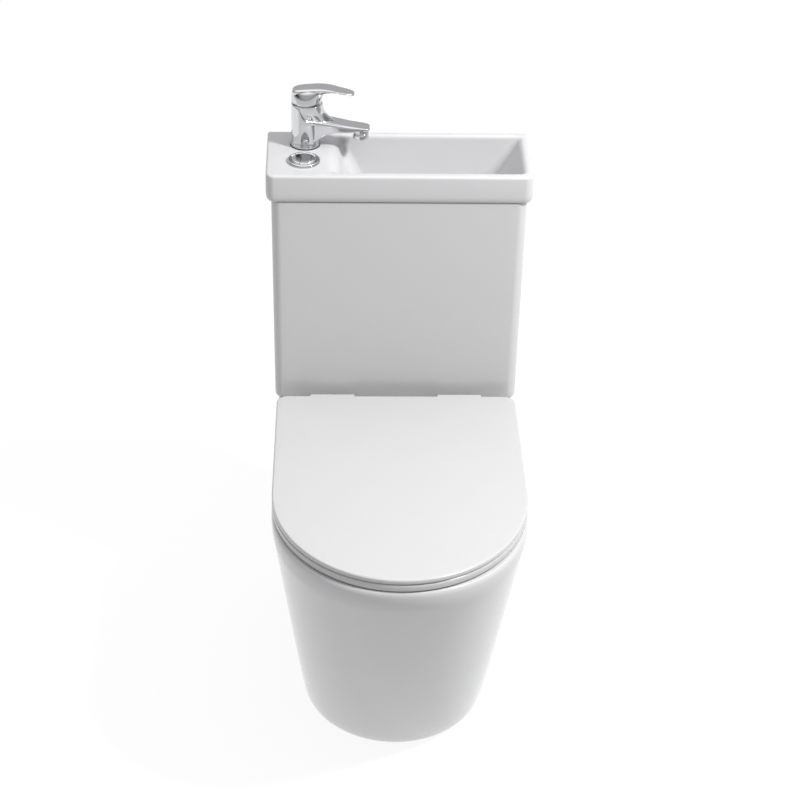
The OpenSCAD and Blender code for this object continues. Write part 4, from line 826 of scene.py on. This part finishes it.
def make_button(name, body, node, operation, gap):
    """One part of the slightly domed disc, on one side of the dividing arc."""
    z = BASIN_Z
    disc = [(17.4, z - 16), (17.4, z + 3.6), (17.1, z + 4.2), (16.3, z + 4.6), (15, z + 4.85),
            (12.5, z + 5.15), (9, z + 5.4), (5, z + 5.6), (1.5, z + 5.7)]
    piece = Builder().revolve(disc, BUTTON_X, BUTTON_Y, 128).make(name, "chrome", SOFTER)
    split = rod_cutter(BUTTON_X - SPLIT_AWAY, BUTTON_Y, z - 30, z + 20, SPLIT_R + gap, 256)
    dress(combined(piece, operation, [split], SOFTER), body, "chrome", node)


# ---------- the object ----------
make_pan()
make_ring()
make_lid()
make_cistern()
make_basin()
make_tap_body()
make_aerator()
make_handle()
make_bezel()
make_button("full_button_skin", "full_button", "full_flush_button", "DIFFERENCE", SPLIT_GAP)
make_button("half_button_skin", "half_button", "half_flush_button", "INTERSECT", -SPLIT_GAP)

# CAD nodes that stay in view take their slot's finish
slot_of = {part["node"]: part["material_slot"] for part in frame["record"]["subparts"]}
for name, node in frame["nodes"].items():
    node.data.materials.clear()
    node.data.materials.append(MAT[slot_of[name]])
    node.data.shade_smooth()
    node.data.set_sharp_from_angle(angle=math.radians(CAD_SOFT))


# ---------- floor, light and camera, in metres ----------
def soft_step(tree, value, start, end, low, high):
    """A smooth change from low to high while the value goes from start to end."""
    step = add_node(tree, "ShaderNodeMapRange",
                    {"From Min": start, "From Max": end, "To Min": low, "To Max": high}, {"Value": value},
                    interpolation_type="SMOOTHSTEP")
    return step.outputs["Result"]


def make_floor():
    """Dark paper with a painted glow that makes it look pale and fills in the object's shadow on it; the
    painted glow is weaker far in front of the object, a painted darker floor there.
    """
    reach = 30.0
    mesh = bpy.data.meshes.new("floor")
    mesh.from_pydata([(-reach, -reach, 0), (reach, -reach, 0), (reach, reach, 0), (-reach, reach, 0)], [],
                     [(0, 1, 2, 3)])
    painted_glow_paper = new_material("floor_painted_glow", (0.12, 0.12, 0.12), 0.9, ior=1.2, specks=0.004, scale=2, bump=0.02)
    tree = painted_glow_paper.node_tree
    place = add_node(tree, "ShaderNodeTexCoord")
    axes = add_node(tree, "ShaderNodeSeparateXYZ", links={"Vector": place.outputs["Object"]})
    shader = next(node for node in tree.nodes if node.type == "BSDF_PRINCIPLED")
    # painted light: the floor glows instead of being lit, which fills in the object's shadow, and glows less
    # far in front of the object, which paints shade there
    shader.inputs["Emission Color"].default_value = (1, 1, 1, 1)
    tree.links.new(soft_step(tree, axes.outputs["Y"], -1.2, -0.33, 0.56, 0.88),
                   shader.inputs["Emission Strength"])
    mesh.materials.append(painted_glow_paper)
    floor = bpy.data.objects.new("floor", mesh)
    SCENE.collection.objects.link(floor)


def make_studio():
    """Soft lights all round: each has a direction, the cosines where it starts and is full, and a level."""
    world = bpy.data.worlds.new("studio")
    SCENE.world = world
    world.use_nodes = True
    tree = world.node_tree
    around = add_node(tree, "ShaderNodeTexCoord").outputs["Generated"]
    level = None
    for direction, start, full, brightness in (((0, 0, 1), 0.3, 0.9, 1.3), ((0, 0, -1), -0.24, -0.10, 0.33),
                                               ((1, 0, 0), 0.2, 0.9, 0.2), ((0, -0.8, 0.6), 0.5, 0.95, 0.45),
                                               ((0, 1, 0), 0.1, 0.6, 0.5)):
        cosine = add_node(tree, "ShaderNodeVectorMath", {1: Vector(direction).normalized()}, {0: around},
                          operation="DOT_PRODUCT")
        light = soft_step(tree, cosine.outputs["Value"], start, full, 0.0, brightness)
        if level:
            brighter = add_node(tree, "ShaderNodeMath", links={0: level, 1: light}, operation="MAXIMUM")
            light = brighter.outputs[0]
        level = light
    tint, faint = {"Red": 1.0, "Green": 0.995, "Blue": 1.01}, 0.04
    channels = {name: add_node(tree, "ShaderNodeMath", {1: share, 2: faint}, {0: level},
                               operation="MULTIPLY_ADD").outputs[0] for name, share in tint.items()}
    color = add_node(tree, "ShaderNodeCombineColor", links=channels)
    background = tree.nodes["Background"]
    background.inputs["Strength"].default_value = 1.0
    tree.links.new(color.outputs["Color"], background.inputs["Color"])


def make_key_light():
    """Soft lamp from the front right above."""
    place, aim = Vector((1.30, -0.63, 2.42)), Vector((0, 0, 0.5))
    lamp = bpy.data.lights.new("key", "AREA")
    lamp.shape = "SQUARE"
    lamp.size = 0.28
    lamp.energy = 72
    key = bpy.data.objects.new("key", lamp)
    SCENE.collection.objects.link(key)
    key.matrix_world = Matrix.Translation(place) @ (place - aim).to_track_quat("Z", "Y").to_matrix().to_4x4()


def make_camera():
    """Camera at the photograph's viewing angle, fitted to its square frame."""
    elevation, azimuth, roll = [math.radians(a) for a in (31.8836, -2.036, 1.2774)]
    distance, target = 3.3991, Vector((0.0011, 0.003, 0.5127))
    lens = bpy.data.cameras.new("cam")
    lens.lens = 107.32
    lens.sensor_width = 36
    lens.sensor_fit = "HORIZONTAL"
    lens.clip_end = 100
    camera = bpy.data.objects.new("cam", lens)
    SCENE.collection.objects.link(camera)
    back = Vector((math.sin(azimuth) * math.cos(elevation), -math.cos(azimuth) * math.cos(elevation),
                   math.sin(elevation)))
    level_right = (-back).cross(Vector((0, 0, 1))).normalized()
    level_up = level_right.cross(-back)
    right = level_right * math.cos(roll) + level_up * math.sin(roll)
    up = level_up * math.cos(roll) - level_right * math.sin(roll)
    axes = Matrix((right, up, back)).transposed().to_4x4()
    camera.matrix_world = Matrix.Translation(target + back * distance) @ axes
    SCENE.camera = camera


make_floor()
make_studio()
make_key_light()
make_camera()
SCENE.view_settings.view_transform = "Standard"
SCENE.view_settings.look = "None"
